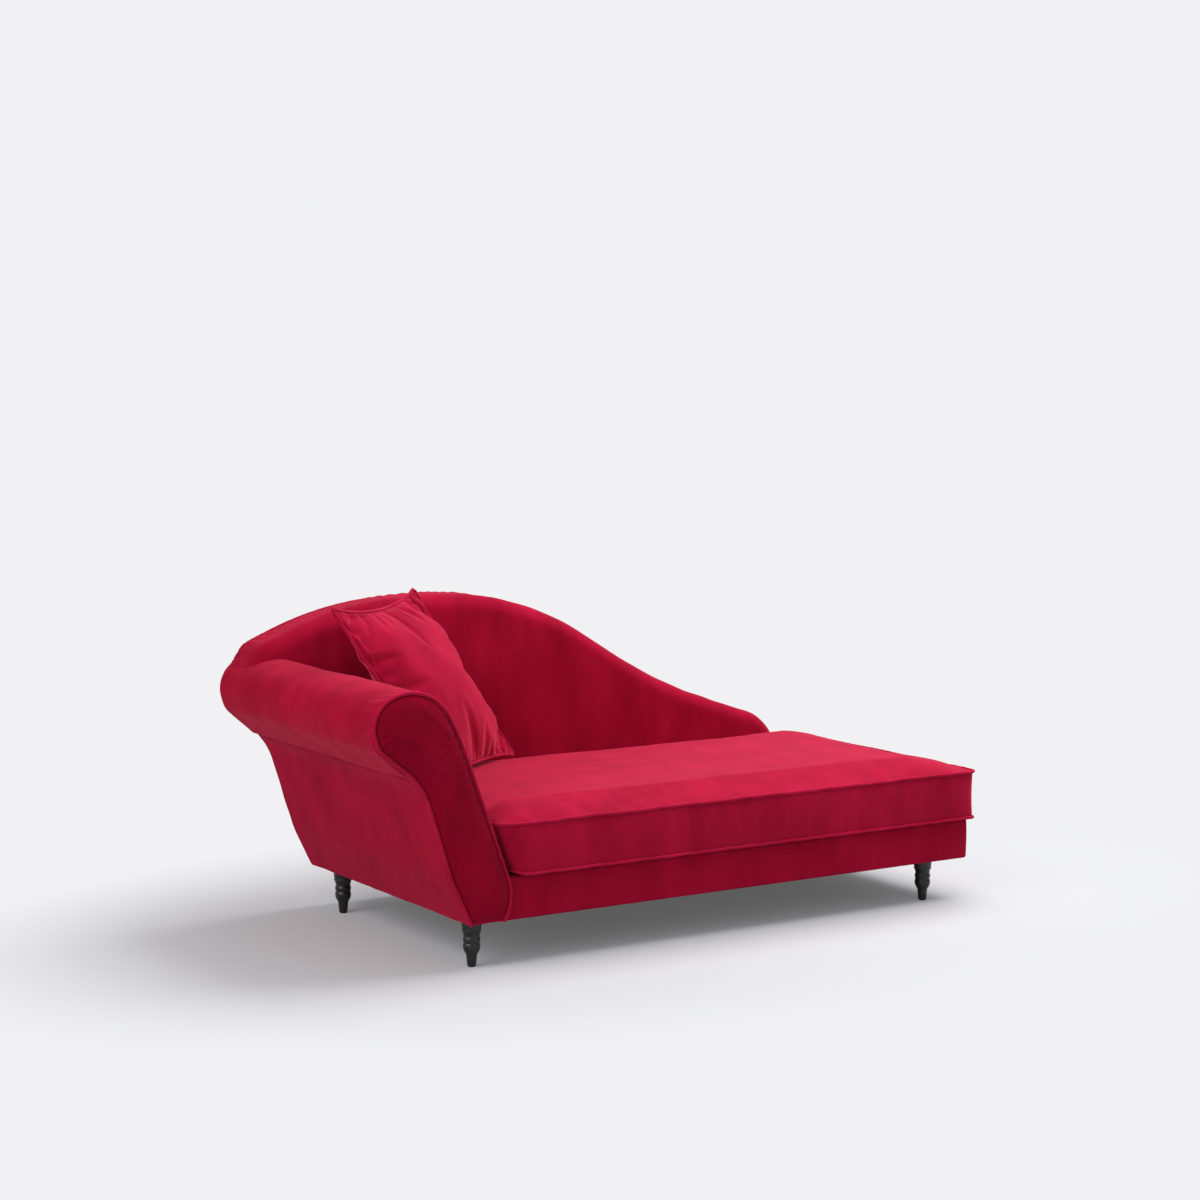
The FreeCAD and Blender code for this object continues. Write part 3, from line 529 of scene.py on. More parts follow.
# For each 2D point, the distance to a chain of points and how far along the chain that is.
def nearLine(points, line):
    best = np.full(len(points), 1e9)
    where = np.zeros(len(points))
    travelled = 0.0
    for a, b in zip(line[:-1], line[1:]):
        d = b - a
        length = np.linalg.norm(d)
        if length < 1e-9:
            continue
        t = np.clip((points - a) @ d / length ** 2, 0, 1)
        away = np.linalg.norm(points - a - t[:, None] * d, axis=1)
        closer = away < best
        best[closer] = away[closer]
        where[closer] = travelled + t[closer] * length
        travelled += length
    return best, where


# Piping: a round tube along a path, with the small puckers of cloth cut on the bias.
def cordTube(name, path, radius, closed, pinch, pitch, seed):
    curve = bpy.data.curves.new(name, "CURVE")
    curve.dimensions = "3D"
    spline = curve.splines.new("POLY")
    spline.points.add(len(path) - 1)
    for point, place in zip(spline.points, path):
        point.co = (*place, 1)
    spline.use_cyclic_u = closed
    curve.bevel_depth = radius
    curve.bevel_resolution = 3
    curve.use_fill_caps = not closed
    obj = bpy.data.objects.new(name, curve)
    bpy.context.scene.collection.objects.link(obj)
    onlySelect(obj)
    bpy.ops.object.convert(target="MESH")
    obj = bpy.context.object
    points, normals = readPoints(obj), readNormals(obj)
    waves = ripple(points, pitch * 2, seed, 9)
    writePoints(obj, points + normals * (pinch * waves)[:, None])
    bpy.ops.object.shade_smooth()
    return obj


# Gives an open skin its thickness, inwards.
def thicken(obj, thickness):
    onlySelect(obj)
    modifier = obj.modifiers.new("cloth", "SOLIDIFY")
    modifier.thickness = thickness
    modifier.offset = -1.0
    bpy.ops.object.modifier_apply(modifier=modifier.name)


# Lets air pressure swell the closed cover, holding the pinned points, and keeps the result.
# No point ends further than the cap from where it began.
def inflate(obj, pinned, pressure, frames, cap, stiffness, shrink):
    rest = readPoints(obj)
    onlySelect(obj)
    modifier = obj.modifiers.new("cloth", "CLOTH")
    cloth = modifier.settings
    group = obj.vertex_groups.new(name="seam")
    group.add([int(i) for i in pinned], 1.0, "REPLACE")
    cloth.vertex_group_mass = group.name
    cloth.quality = 5
    cloth.mass = 0.3
    cloth.use_pressure = True
    cloth.uniform_pressure_force = pressure
    cloth.tension_stiffness = stiffness
    cloth.compression_stiffness = stiffness
    cloth.shear_stiffness = stiffness / 3
    cloth.bending_stiffness = 0.4
    cloth.shrink_min = shrink
    cloth.effector_weights.gravity = 0.0
    modifier.point_cache.frame_start = 1
    modifier.point_cache.frame_end = frames
    for number in range(1, frames + 1):
        bpy.context.scene.frame_set(number)
    bpy.ops.object.modifier_apply(modifier=modifier.name)
    bpy.context.scene.frame_set(1)
    moved = readPoints(obj) - rest
    far = np.linalg.norm(moved, axis=1)
    keep = np.where(far > cap, cap / np.maximum(far, 1e-9), 1.0)
    writePoints(obj, rest + moved * keep[:, None])


# Gives a piece its body, material and slot, and hides the nodes that it stands for.
def finishPiece(obj, body, material, replaced=()):
    obj.data.materials.clear()
    obj.data.materials.append(material)
    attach(obj, body)
    if replaced:
        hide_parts(*replaced)


# The arm

arm = {
    "corners": [                        # across, above the base's foot, radius
        (0.000, 0.000, 0.000), (-0.060, 0.123, 0.272), (-0.138, 0.370, 0.190), (-0.263, 0.473, 0.054),
        (-0.291, 0.572, 0.080), (-0.117, 0.655, 0.128), (-0.029, 0.499, 0.696), (0.134, 0.057, 0.129),
        (0.095, 0.000, 0.000),
    ],
    "front": -0.0015, "frontBevel": 0.0045,
    "rear": 0.9268, "rearBevel": 0.0040,
    "voxel": 0.0055,
    "uneven": ((0.0012, 0.35, 11), (0.0006, 0.09, 12)),
    "pucker": 0.0016, "puckerPitch": 0.028,     # where the cover is drawn into the front piping
    "tuck": 0.515,                      # the outside panel is tucked under the roll at this height
    "rollSwell": 0.0060,                # how far the roll stands out above that seam
    "folds": [                          # start, end, width, height
        ((-0.158, 0.015, 0.520), (-0.215, 0.24, 0.575), 0.008, 0.0035),
        ((-0.190, 0.015, 0.545), (-0.250, 0.17, 0.600), 0.008, 0.0030),
        ((-0.150, 0.015, 0.500), (-0.170, 0.30, 0.535), 0.007, 0.0030),
        ((-0.125, 0.02, 0.470), (-0.120, 0.30, 0.500), 0.009, 0.0025),
        ((-0.020, 0.03, 0.640), (0.020, 0.20, 0.520), 0.020, -0.003),
    ],
}

armPanel = {
    "front": -0.006, "rear": 0.006,
    "voxel": 0.004,
    "bulge": 0.0130,
    "gather": 0.0014, "gatherPitch": 0.024,     # round the edge, strongest at the neck of the scroll
    "folds": [
        ((-0.075, -0.012, 0.560), (-0.225, -0.012, 0.640), 0.010, 0.0035),
        ((-0.070, -0.012, 0.520), (-0.190, -0.012, 0.575), 0.008, 0.0030),
        ((-0.060, -0.012, 0.620), (-0.150, -0.012, 0.700), 0.010, 0.0030),
        ((-0.060, -0.012, 0.300), (0.020, -0.012, 0.420), 0.014, 0.0020),
        ((0.020, -0.012, 0.160), (0.060, -0.012, 0.330), 0.014, 0.0020),
    ],
}

armPiping = {
    "radius": 0.0048,
    "front": -0.0040,
    "proud": 0.0012,                    # how far the tube stands past the cover's outline
}


def armOutline(inset, step=0.008):
    corners = insetCorners(arm["corners"], inset) if inset else arm["corners"]
    return roundedLine(corners, True, step) + np.array([0, floorToBase])


def buildArm(velvet):
    obj = prism("armVelvet", armOutline(0.0), arm["front"], arm["rear"])
    roundRim(obj, frontY + arm["rear"], arm["rearBevel"], 3)
    roundRim(obj, frontY + arm["front"], arm["frontBevel"], 4)
    remeshed(obj, arm["voxel"], 3)
    points, normals = readPoints(obj), readNormals(obj)
    side = np.column_stack([points[:, 0] - headX, points[:, 2] - floorToBase])
    y = points[:, 1] - frontY
    away = np.abs(normals[:, 1]) < 0.7
    lift = uneven(points, arm["uneven"])
    # puckers behind the front piping, on the upper part only
    along = nearLine(side, roundedLine(arm["corners"], True, 0.02))[1]
    fade = np.exp(-y / 0.035)
    upper = np.clip((side[:, 1] - 0.36) / 0.1, 0, 1)
    wave = np.sin(along * 2 * math.pi / arm["puckerPitch"] + 2.2 * ripple(points, 0.2, 13))
    lift += arm["pucker"] * fade * upper * wave
    # a tight seam under the roll, which swells out above it
    outer = (normals[:, 0] < -0.2) & (side[:, 0] < 0.0)
    above = points[:, 2] - arm["tuck"] - 0.006 * np.exp(-y / 0.05) + 0.0015 * ripple(points, 0.25, 14)
    lift += outer * arm["rollSwell"] * np.clip(above / 0.005, 0, 1) * np.exp(-np.clip(above, 0, 1) / 0.06)
    lift -= outer * 0.0012 * np.exp(-((above + 0.003) / 0.005) ** 2)
    writePoints(obj, points + normals * (lift * away)[:, None])
    addFolds(obj, arm["folds"])
    finishPiece(obj, "frame", velvet, ("arm_cover", "arm_outside_cover", "arm_foam"))


def buildArmPanel(velvet):
    outline = armOutline(2 * armPiping["radius"] - 0.001, 0.006)
    obj = prism("armFrontPanel", outline, armPanel["front"], armPanel["rear"])
    remeshed(obj, armPanel["voxel"], 2)
    points = readPoints(obj)
    front = points[:, 1] < frontY - 0.0005
    side = np.column_stack([points[:, 0] - headX, points[:, 2]])
    gap, along = nearLine(side, np.vstack([outline, outline[:1]]))
    dome = 1 - 1.25 * np.exp(-gap / 0.016)
    high = side[:, 1] - floorToBase
    gathers = np.exp(-gap / 0.03) * np.clip(gap / 0.006, 0, 1)
    neck, foot = np.exp(-((high - 0.47) / 0.09) ** 2), np.exp(-((high - 0.05) / 0.06) ** 2)
    strength = 0.35 + 1.3 * neck + 0.5 * foot
    wave = np.sin(along * 2 * math.pi / armPanel["gatherPitch"] + 1.8 * ripple(points, 0.12, 21))
    bulge = armPanel["bulge"] * dome + armPanel["gather"] * gathers * strength * wave
    bulge += 0.0012 * ripple(points, 0.16, 22) * dome
    points[front, 1] -= bulge[front]
    writePoints(obj, points)
    addFolds(obj, armPanel["folds"])
    finishPiece(obj, "frame", velvet, ("arm_facing",))


def buildArmPiping(velvet):
    r = armPiping["radius"]
    corners = insetCorners(arm["corners"], r - armPiping["proud"])
    corners[0] = (corners[0][0], 0.0, 0.0)
    corners[-1] = (corners[-1][0] + 0.003, 0.0, 0.0)
    line = roundedLine(corners, False, 0.006)
    path = [spot(x, armPiping["front"], z + floorToBase) for x, z in line]
    obj = cordTube("armPiping", path, r, False, 0.00035, 0.012, 31)
    finishPiece(obj, "frame", velvet, ("arm_piping",))


# The back

back = {
    "corners": [                        # across, above the base's foot, radius
        (-0.309, 0.500, 0.000), (-0.208, 0.652, 0.070), (0.032, 0.753, 1.015), (0.597, 0.782, 0.994),
        (1.110, 0.458, 1.261), (1.562, 0.310, 0.181), (1.556, 0.120, 0.000),
    ],
    "startShare": 0.43,                 # the outline starts this far along its first side, inside the roll
    "insideArm": (-0.170, 0.540),       # from there it runs down through the arm
    "armFoot": 0.030,
    "front": 0.777, "frontRound": 0.045,
    "rear": 0.9262, "rearRound": 0.035,
    "foot": 0.107,
    "voxel": 0.0065,
    "uneven": ((0.0022, 0.50, 41), (0.0009, 0.12, 42)),
    "padding": 0.004, "paddingHeight": 0.62,    # the front is fullest at this height
    "ruffle": 0.0014, "rufflePitch": 0.034,     # along the rear edge of the top
}

outsideBack = {
    "inset": 0.004,                     # it ends this far inside the outlines of arm and back
    "front": 0.912, "rear": 0.9278,
    "foot": 0.050,
    "baseLow": (0.030, 0.1205), "baseHigh": (1.645, 0.232),
    "voxel": 0.0065,
}


def backOutline(inset, foot):
    corners = insetCorners(back["corners"], inset) if inset else back["corners"]
    left, first = corners[0], corners[1]
    share = back["startShare"]
    start = (left[0] + (first[0] - left[0]) * share, left[1] + (first[1] - left[1]) * share, 0.0)
    hidden = [(back["armFoot"], foot, 0.0), (*back["insideArm"], 0.0)]
    whole = hidden + [start] + corners[1:-1] + [(corners[-1][0], foot, 0.0)]
    return roundedLine(whole, True, 0.012) + np.array([0, floorToBase])


def buildBack(velvet):
    obj = prism("backVelvet", backOutline(0.0, back["foot"]), back["front"], back["rear"])
    roundRim(obj, frontY + back["front"], back["frontRound"], 8)
    roundRim(obj, frontY + back["rear"], back["rearRound"], 7)
    remeshed(obj, back["voxel"], 4)
    points, normals = readPoints(obj), readNormals(obj)
    facing = np.clip(-normals[:, 1], 0, 1)
    high = points[:, 2]
    lift = uneven(points, back["uneven"])
    lift += facing * back["padding"] * np.exp(-((high - back["paddingHeight"]) / 0.16) ** 2)
    rear = np.exp(-((points[:, 1] - frontY - back["rear"] + 0.03) / 0.03) ** 2) * (normals[:, 2] > 0.2)
    along = points[:, 0] + 0.02 * ripple(points, 0.2, 43)
    lift += back["ruffle"] * rear * np.sin(along * 2 * math.pi / back["rufflePitch"])
    writePoints(obj, points + normals * lift[:, None])
    finishPiece(obj, "frame", velvet, ("back_cover", "back_foam"))


# The plain panel that closes the rear, from the arm over the back to the foot of the base.
def buildOutsideBack(velvet):
    inset, front, rear = outsideBack["inset"], outsideBack["front"], outsideBack["rear"]
    (left, foot), (right, top) = outsideBack["baseLow"], outsideBack["baseHigh"]
    strip = np.array([(left, foot), (left, top), (right, top), (right, foot)])
    pieces = [
        prism("outsideBack", backOutline(inset, outsideBack["foot"]), front, rear),
        prism("outsideArm", armOutline(inset), front, rear),
        prism("outsideBase", strip, front, rear),
    ]
    bpy.ops.object.select_all(action="DESELECT")
    for piece in pieces:
        piece.select_set(True)
    bpy.context.view_layer.objects.active = pieces[0]
    bpy.ops.object.join()
    obj = bpy.context.object
    obj.name = "outsideBackVelvet"
    remeshed(obj, outsideBack["voxel"], 3)
    points, normals = readPoints(obj), readNormals(obj)
    lift = (0.0006 * ripple(points, 0.3, 51) - 0.0004) * (normals[:, 1] > 0.5)
    writePoints(obj, points + normals * lift[:, None])
    finishPiece(obj, "frame", velvet, ("back_outside_cover",))


# The base

base = {
    "cornerRound": 0.012,               # upright corner at the foot end
    "edgeRound": 0.006,                 # upper and lower edge
    "lip": 0.110,                       # how far the velvet reaches in over the top
    "hem": 0.018,                       # how far it is turned under
    "cloth": 0.002,
    "belly": 0.0012,                    # how far the side swells between its edges
    "uneven": ((0.0012, 0.45, 61), (0.0006, 0.10, 62)),
    "rearLipLow": (0.110, 0.7205, 0.2325), "rearLipHigh": (1.560, 0.779, 0.2341),
}


# A skin whose section is drawn along a flat path. Section points are (outwards, height),
# and no point lies further in than the reach of its place on the path.
def sweptSkin(name, path, outward, profile, reaches):
    rows, columns = len(path), len(profile)
    bpy.ops.mesh.primitive_grid_add(x_subdivisions=columns - 1, y_subdivisions=rows - 1, size=1)
    obj = bpy.context.object
    obj.name = name
    points = np.empty((rows * columns, 3))
    for i, (place, side, reach) in enumerate(zip(path, outward, reaches)):
        for k, (out, high) in enumerate(profile):
            out = max(out, -reach)
            points[i * columns + k] = spot(place[0] + side[0] * out, place[1] + side[1] * out, high)
    writePoints(obj, points)
    onlySelect(obj)
    bpy.ops.object.mode_set(mode="EDIT")
    bpy.ops.mesh.select_all(action="SELECT")
    bpy.ops.mesh.normals_make_consistent(inside=False)
    bpy.ops.object.mode_set(mode="OBJECT")
    bpy.ops.object.shade_smooth()
    return obj


# The path along the front and round the foot end, with the direction that faces outwards.
def basePath():
    r = base["cornerRound"]
    path, outward = [], []
    for x in np.linspace(0.060, baseLength - r, 190):
        path.append((x, 0.0))
        outward.append((0.0, -1.0))
    for k in range(1, 8):
        angle = math.pi / 2 * k / 8
        path.append((baseLength - r + r * math.sin(angle), r - r * math.cos(angle)))
        outward.append((math.sin(angle), -math.cos(angle)))
    for y in np.linspace(r, baseDepth - 0.002, 110):
        path.append((baseLength, y))
        outward.append((1.0, 0.0))
    return path, outward


# From the hem under the base, up its side and in over the lip.
def baseProfile(low, high):
    r = base["edgeRound"]
    angles = np.linspace(0, math.pi / 2, 5)
    profile = [(-base["hem"] - r, low), (-r * 2, low)]
    profile += [(-r + r * math.sin(a), low + r - r * math.cos(a)) for a in angles]
    profile += [(0.0, z) for z in np.linspace(low + r + 0.004, high - r - 0.004, 14)]
    profile += [(-r + r * math.cos(a), high - r + r * math.sin(a)) for a in angles]
    profile += [(-r - d, high) for d in np.linspace(0.01, base["lip"] - r, 8)]
    return profile


def buildBase(velvet):
    low, high = floorToBase, baseTop
    path, outward = basePath()
    # the lip is mitred at the corner
    reaches = [max(base["cornerRound"], max(baseLength - x, y)) for x, y in path]
    obj = sweptSkin("baseVelvet", path, outward, baseProfile(low, high), reaches)
    points, normals = readPoints(obj), readNormals(obj)
    rise = (points[:, 2] - low) / (high - low)
    belly = np.clip(4 * rise * (1 - rise), 0, 1)
    lift = belly * (base["belly"] + uneven(points, base["uneven"]))
    lift += 0.0008 * np.exp(-rise / 0.08) * ripple(points, 0.06, 63)
    outside = np.abs(normals[:, 2]) < 0.5
    sign = np.where((normals[:, 1] > 0.3) | (normals[:, 0] < -0.3), -1.0, 1.0)
    writePoints(obj, points + normals * (sign * lift * outside)[:, None])
    thicken(obj, base["cloth"])
    bpy.ops.object.shade_smooth()
    finishPiece(obj, "frame", velvet, ("base_cover", "base_wadding"))
    # the velvet lip along the foot of the back
    lip = boxGrid("baseLipRear", (120, 5, 0))
    a, b = spot(*base["rearLipLow"]), spot(*base["rearLipHigh"])
    writePoints(lip, np.array(a) + (readPoints(lip) + 0.5) * (b - a))
    bpy.ops.object.shade_smooth_by_angle(angle=math.radians(40))
    finishPiece(lip, "frame", velvet)


# The seat cushion

seat = {
    "low": 0.2389, "high": 0.3729,      # heights of the two seams
    "headLow": 0.1297, "headHigh": 0.0807,      # inner side of the arm plus the piping
    "foot": 1.666,
    "front": -0.013, "rear": 0.767,
    "cuts": (184, 92, 15),
    "cornerRound": 0.020,
    "crown": 0.0351,
    "crownRun": (0.07, 0.17, 0.11, 0.05),       # the crown rises over these from head, foot, front and rear
    "drawn": 0.0005,                    # how far the boxing pulls in between its seams
    "tuck": (0.035, 0.10, 0.012),       # the lower front corner at the arm: along, back and up
    "air": {"pressure": 1.6, "frames": 12, "cap": 0.008, "stiffness": 20.0, "shrink": -0.002},
    "gather": 0.0009, "topGather": 0.0013, "gatherPitch": 0.036,
    "pipingRadius": 0.0043, "pipingOut": 0.0010,
}


def seatHead(z):
    part = (z - seat["low"]) / (seat["high"] - seat["low"])
    return seat["headLow"] + (seat["headHigh"] - seat["headLow"]) * part


def buildSeatCushion(velvet, cord):
    length, depth = seat["foot"] - seat["headLow"], seat["rear"] - seat["front"]
    obj = boxGrid("seatCushion", seat["cuts"])
    u, v, w = (readPoints(obj) + 0.5).T
    low, high = w < 1e-4, w > 1 - 1e-4
    sideX, sideY = np.minimum(u, 1 - u), np.minimum(v, 1 - v)
    boxing = np.minimum(sideX, sideY) < 1e-4
    fromHead, fromFoot, fromFront, fromRear = u * length, (1 - u) * length, v * depth, (1 - v) * depth
    edgeGap = np.minimum(np.minimum(fromHead, fromFoot), np.minimum(fromFront, fromRear))
    # the crown rises at once behind the front seam and is pressed down beside the arm and the back
    headRun, footRun, frontRun, rearRun = seat["crownRun"]
    rise = np.clip(fromHead / headRun, 0, 1) * np.clip(fromFoot / footRun, 0, 1)
    rise = rise * np.clip(fromFront / frontRun, 0, 1) * np.clip(fromRear / rearRun, 0, 1)
    crown = seat["crown"] * np.sin(rise * math.pi / 2) ** 0.75
    lean = (seat["headHigh"] - seat["headLow"]) * w * (1 - u)
    # upright corners are rounded, and the boxing is drawn in between its seams
    r = seat["cornerRound"]
    cornerX = np.clip(r - np.minimum(fromHead, fromFoot), 0, r)
    cornerY = np.clip(r - np.minimum(fromFront, fromRear), 0, r)
    away = np.hypot(cornerX, cornerY)
    over = np.maximum(away - r, 0) / np.maximum(away, 1e-9)
    pull = seat["drawn"] * np.sin(math.pi * w)
    inX = cornerX * over + pull * (sideX < 1e-4)
    inY = cornerY * over + pull * (sideY < 1e-4)
    corner = spot(seat["headLow"], seat["front"], seat["low"])
    points = np.column_stack([
        corner.x + fromHead + lean + inX * np.where(u < 0.5, 1, -1),
        corner.y + fromFront + inY * np.where(v < 0.5, 1, -1),
        corner.z + w * (seat["high"] - seat["low"]) + crown * high,
    ])
    along, deep, up = seat["tuck"]
    tuck = np.clip(1 - fromHead / along, 0, 1) ** 2 * np.clip(1 - fromFront / deep, 0, 1) * (1 - w)
    points[:, 2] += up * tuck
    writePoints(obj, points)
    seam = np.where((boxing & (low | high)) | low)[0]
    inflate(obj, seam, **seat["air"])
    points, normals = readPoints(obj), readNormals(obj)
    x, y = points[:, 0] - headX, points[:, 1] - frontY
    # gathers beside both seams of the boxing and along the edge of the top
    wave = np.sin((x - y) * 2 * math.pi / seat["gatherPitch"] + 2.8 * ripple(points, 0.25, 71))
    patchy = np.clip(0.35 + 0.6 * ripple(points, 0.3, 74), 0, 1.4)
    onSide = boxing & ~low & ~high
    near = np.exp(-(1 - w) / 0.16) + 0.7 * np.exp(-w / 0.16)
    lift = seat["gather"] * near * patchy * wave * onSide + 0.0010 * ripple(points, 0.3, 72) * onSide
    fade = np.exp(-edgeGap / 0.028) * np.clip(edgeGap / 0.008, 0, 1)
    broad = 0.0018 * ripple(points, 0.55, 73) * np.clip(edgeGap / 0.1, 0, 1)
    lift += (high & ~boxing) * (seat["topGather"] * fade * patchy * wave + broad)
    writePoints(obj, points + normals * lift[:, None])
    onlySelect(obj)
    bpy.ops.object.shade_smooth()
    finishPiece(obj, "seat_cushion", velvet, ("seat_cushion_cover", "seat_cushion_foam"))
    buildSeatPiping("seatPipingTop", "seat_cushion_piping_top", seat["high"], cord)
    buildSeatPiping("seatPipingBottom", "seat_cushion_piping_bottom", seat["low"], cord)


# One seam's piping, a little uneven; the lower one follows the corner that is tucked up.
def buildSeatPiping(name, node, z, cord):
    out = seat["pipingOut"]
    bend = seat["cornerRound"] + out
    left, right = seatHead(z) - out, seat["foot"] + out
    front, rear = seat["front"] - out, seat["rear"] + out
    corners = [(left, front, bend), (left, rear, bend), (right, rear, bend), (right, front, bend)]
    along, deep, up = seat["tuck"]
    path = []
    for x, y in roundedLine(corners, True, 0.006):
        wave = 0.0009 * math.sin(x * 23 + y * 17) + 0.0005 * math.sin(x * 67 + 1.3)
        if z == seat["low"]:
            beside = max(0, 1 - (x - left) / along) ** 2 * max(0, 1 - (y - front) / deep)
            wave = abs(wave) + up * beside
        path.append(spot(x, y, z + wave))
    obj = cordTube(name, path, seat["pipingRadius"], True, 0.0003, 0.012, 81)
    finishPiece(obj, "seat_cushion", cord, (node,))


# The scatter cushion

scatter = {
    "topLeft": (-0.148, 0.468, 0.8957),
    "topRight": (0.255, 0.773, 0.9027),
    "lowRight": (0.542, 0.720, 0.4247),
    "cells": 60,
    "half": 0.25,                       # the cover is worked flat, this far each way from its middle
    "drawn": (0.05, 0.02, 0.06, 0.11),  # shares that the left, right, lower and upper seams pull in
    "ear": 0.013, "earWidth": 0.10,     # the corners stand out, with a small rounding at the tip
    "tip": 0.012, "tipWidth": 0.022,
    "loft": 0.030,                      # half thickness before it is filled with air
    "air": {"pressure": 4.0, "frames": 22, "cap": 0.2, "stiffness": 9.0, "shrink": -0.07},
    "belly": 0.078,                     # half thickness when it is filled
    "pleats": (                         # corner, spread of the pleats, reach, height
        (1, -1, 7, 0.34, 0.0050), (1, 1, 6, 0.30, 0.0042),
        (-1, 1, 5, 0.26, 0.0030), (-1, -1, 5, 0.30, 0.0030),
    ),
    "sideFold": 0.0032,                 # soft folds that start along the left seam
    "unevenness": 0.0022,
    "pipingRadius": 0.0044, "pipingOut": 0.0022,
}


# Pleats that fan out from the corners of a square.
def cornerPleats(u, v):
    lift = np.zeros(len(u))
    for cu, cv, count, reach, height in scatter["pleats"]:
        away = np.hypot(u - cu, v - cv)
        angle = np.arctan2(np.abs(v - cv), np.abs(u - cu))
        fan = np.sin(angle * 2 * count + 1.1 * count)
        lift += height * fan * np.exp(-away / reach) * np.clip(away / 0.12, 0, 1)
    return lift


# Two layers of cloth sewn together along a drawn-in outline, with ears at the corners.
def flatCover():
    n, half = scatter["cells"], scatter["half"]
    bpy.ops.mesh.primitive_grid_add(x_subdivisions=n, y_subdivisions=n, size=2)
    obj = bpy.context.object
    obj.name = "scatterCushion"
    onlySelect(obj)
    bpy.ops.object.mode_set(mode="EDIT")
    bpy.ops.mesh.select_all(action="SELECT")
    bpy.ops.mesh.duplicate_move(TRANSFORM_OT_translate={"value": (0, 0, 0)})
    bpy.ops.mesh.flip_normals()
    bpy.ops.object.mode_set(mode="OBJECT")
    points = readPoints(obj)
    u, v = points[:, 0].copy(), points[:, 1].copy()
    inside = np.clip((1 - u ** 2) * (1 - v ** 2), 0, 1)
    fromCorner = 2 - np.abs(u) - np.abs(v)
    ear = scatter["ear"] * np.exp(-fromCorner / scatter["earWidth"])
    ear -= scatter["tip"] * np.exp(-fromCorner / scatter["tipWidth"])
    left, right, lower, upper = scatter["drawn"]
    points[:, 0] = half * u * (1 - np.where(u < 0, left, right) * (1 - v ** 2)) + ear * np.sign(u)
    points[:, 1] = half * v * (1 - np.where(v < 0, lower, upper) * (1 - u ** 2)) + ear * np.sign(v)
    points[:, 2] = scatter["loft"] * inside ** 0.5
    points[len(points) // 2:, 2] *= -1
    writePoints(obj, points)
    bpy.ops.object.mode_set(mode="EDIT")
    bpy.ops.mesh.select_all(action="SELECT")
    bpy.ops.mesh.remove_doubles(threshold=0.0002)
    bpy.ops.mesh.normals_make_consistent(inside=False)
    bpy.ops.object.mode_set(mode="OBJECT")
    return obj


def buildScatterCushion(velvet, cord):
    obj = flatCover()
    rest = readPoints(obj)
    seam = np.where(np.abs(rest[:, 2]) < 1e-6)[0]
    inflate(obj, seam, **scatter["air"])
    points = readPoints(obj)
    u, v = rest[:, 0] / scatter["half"], rest[:, 1] / scatter["half"]
    puffed = np.clip((1 - u ** 2) * (1 - v ** 2), 0, 1)
    lift = cornerPleats(u, v)
    folds = np.sin(v * 13 + 0.8 * ripple(points, 0.15, 92))
    lift += scatter["sideFold"] * folds * np.exp(-(u + 1) / 0.35) * np.clip((u + 1) / 0.1, 0, 1)
    lift += scatter["unevenness"] * ripple(points, 0.16, 93)
    # stood up in the place that its three corners give
    topLeft, topRight, lowRight = (Vector(scatter[k]) for k in ("topLeft", "topRight", "lowRight"))
    lowLeft = topLeft + lowRight - topRight
    across, rise = np.array(topRight - topLeft), np.array(topLeft - lowLeft)
    out = np.array((topRight - lowLeft).cross(topLeft - lowRight).normalized())
    s, t = points[:, 0] / scatter["half"] / 2 + 0.5, points[:, 1] / scatter["half"] / 2 + 0.5
    high = points[:, 2]
    d = np.sign(high) * (np.abs(high) / np.abs(high).max()) ** 0.85 * scatter["belly"]
    d += np.where(high > 0, 1, -1) * lift * np.clip(puffed / 0.12, 0, 1)
    placed = np.array(spot(*lowLeft)) + s[:, None] * across + t[:, None] * rise + d[:, None] * out
    writePoints(obj, placed)
    # the piping runs along the seam, a little outside it
    centre = placed.mean(axis=0)
    path = []
    for i in sorted(seam, key=lambda i: math.atan2(rest[i][1], rest[i][0])):
        sideways = placed[i] - centre
        sideways -= (sideways @ out) * out
        path.append(Vector(placed[i] + sideways / np.linalg.norm(sideways) * scatter["pipingOut"]))
    onlySelect(obj)
    modifier = obj.modifiers.new("fine", "SUBSURF")
    modifier.levels = 1
    modifier.render_levels = 1
    bpy.ops.object.modifier_apply(modifier=modifier.name)
    bpy.ops.object.shade_smooth()
    finishPiece(obj, "scatter_cushion", velvet, ("scatter_cover", "scatter_filling"))
    tube = cordTube("scatterPiping", path, scatter["pipingRadius"], True, 0.0003, 0.012, 95)
    finishPiece(tube, "scatter_cushion", cord, ("scatter_piping",))


# The legs

leg = {
    "places": ((0.033, 0.053), (1.526, 0.053), (0.033, 0.793), (1.526, 0.793)),
    "profile": [                        # radius and height, from the glide to the base
        (0.0, 0.0030), (0.0110, 0.0030), (0.0117, 0.0042), (0.0130, 0.0180), (0.0146, 0.0338),
        (0.0158, 0.0346), (0.0176, 0.0380), (0.0202, 0.0430), (0.0219, 0.0480), (0.0227, 0.0530),
        (0.0225, 0.0575), (0.0214, 0.0610), (0.0200, 0.0630), (0.0202, 0.0642), (0.0219, 0.0665),
        (0.0227, 0.0705), (0.0224, 0.0750), (0.0212, 0.0785), (0.0205, 0.0800), (0.0207, 0.0815),
        (0.0214, 0.0860), (0.0229, 0.0910), (0.0249, 0.0945), (0.0256, 0.0952), (0.0254, 0.0975),
        (0.0245, 0.1005), (0.0247, 0.1025), (0.0258, 0.1055), (0.0260, 0.1075), (0.0260, 0.1215),
        (0.0, 0.1215),
    ],
}


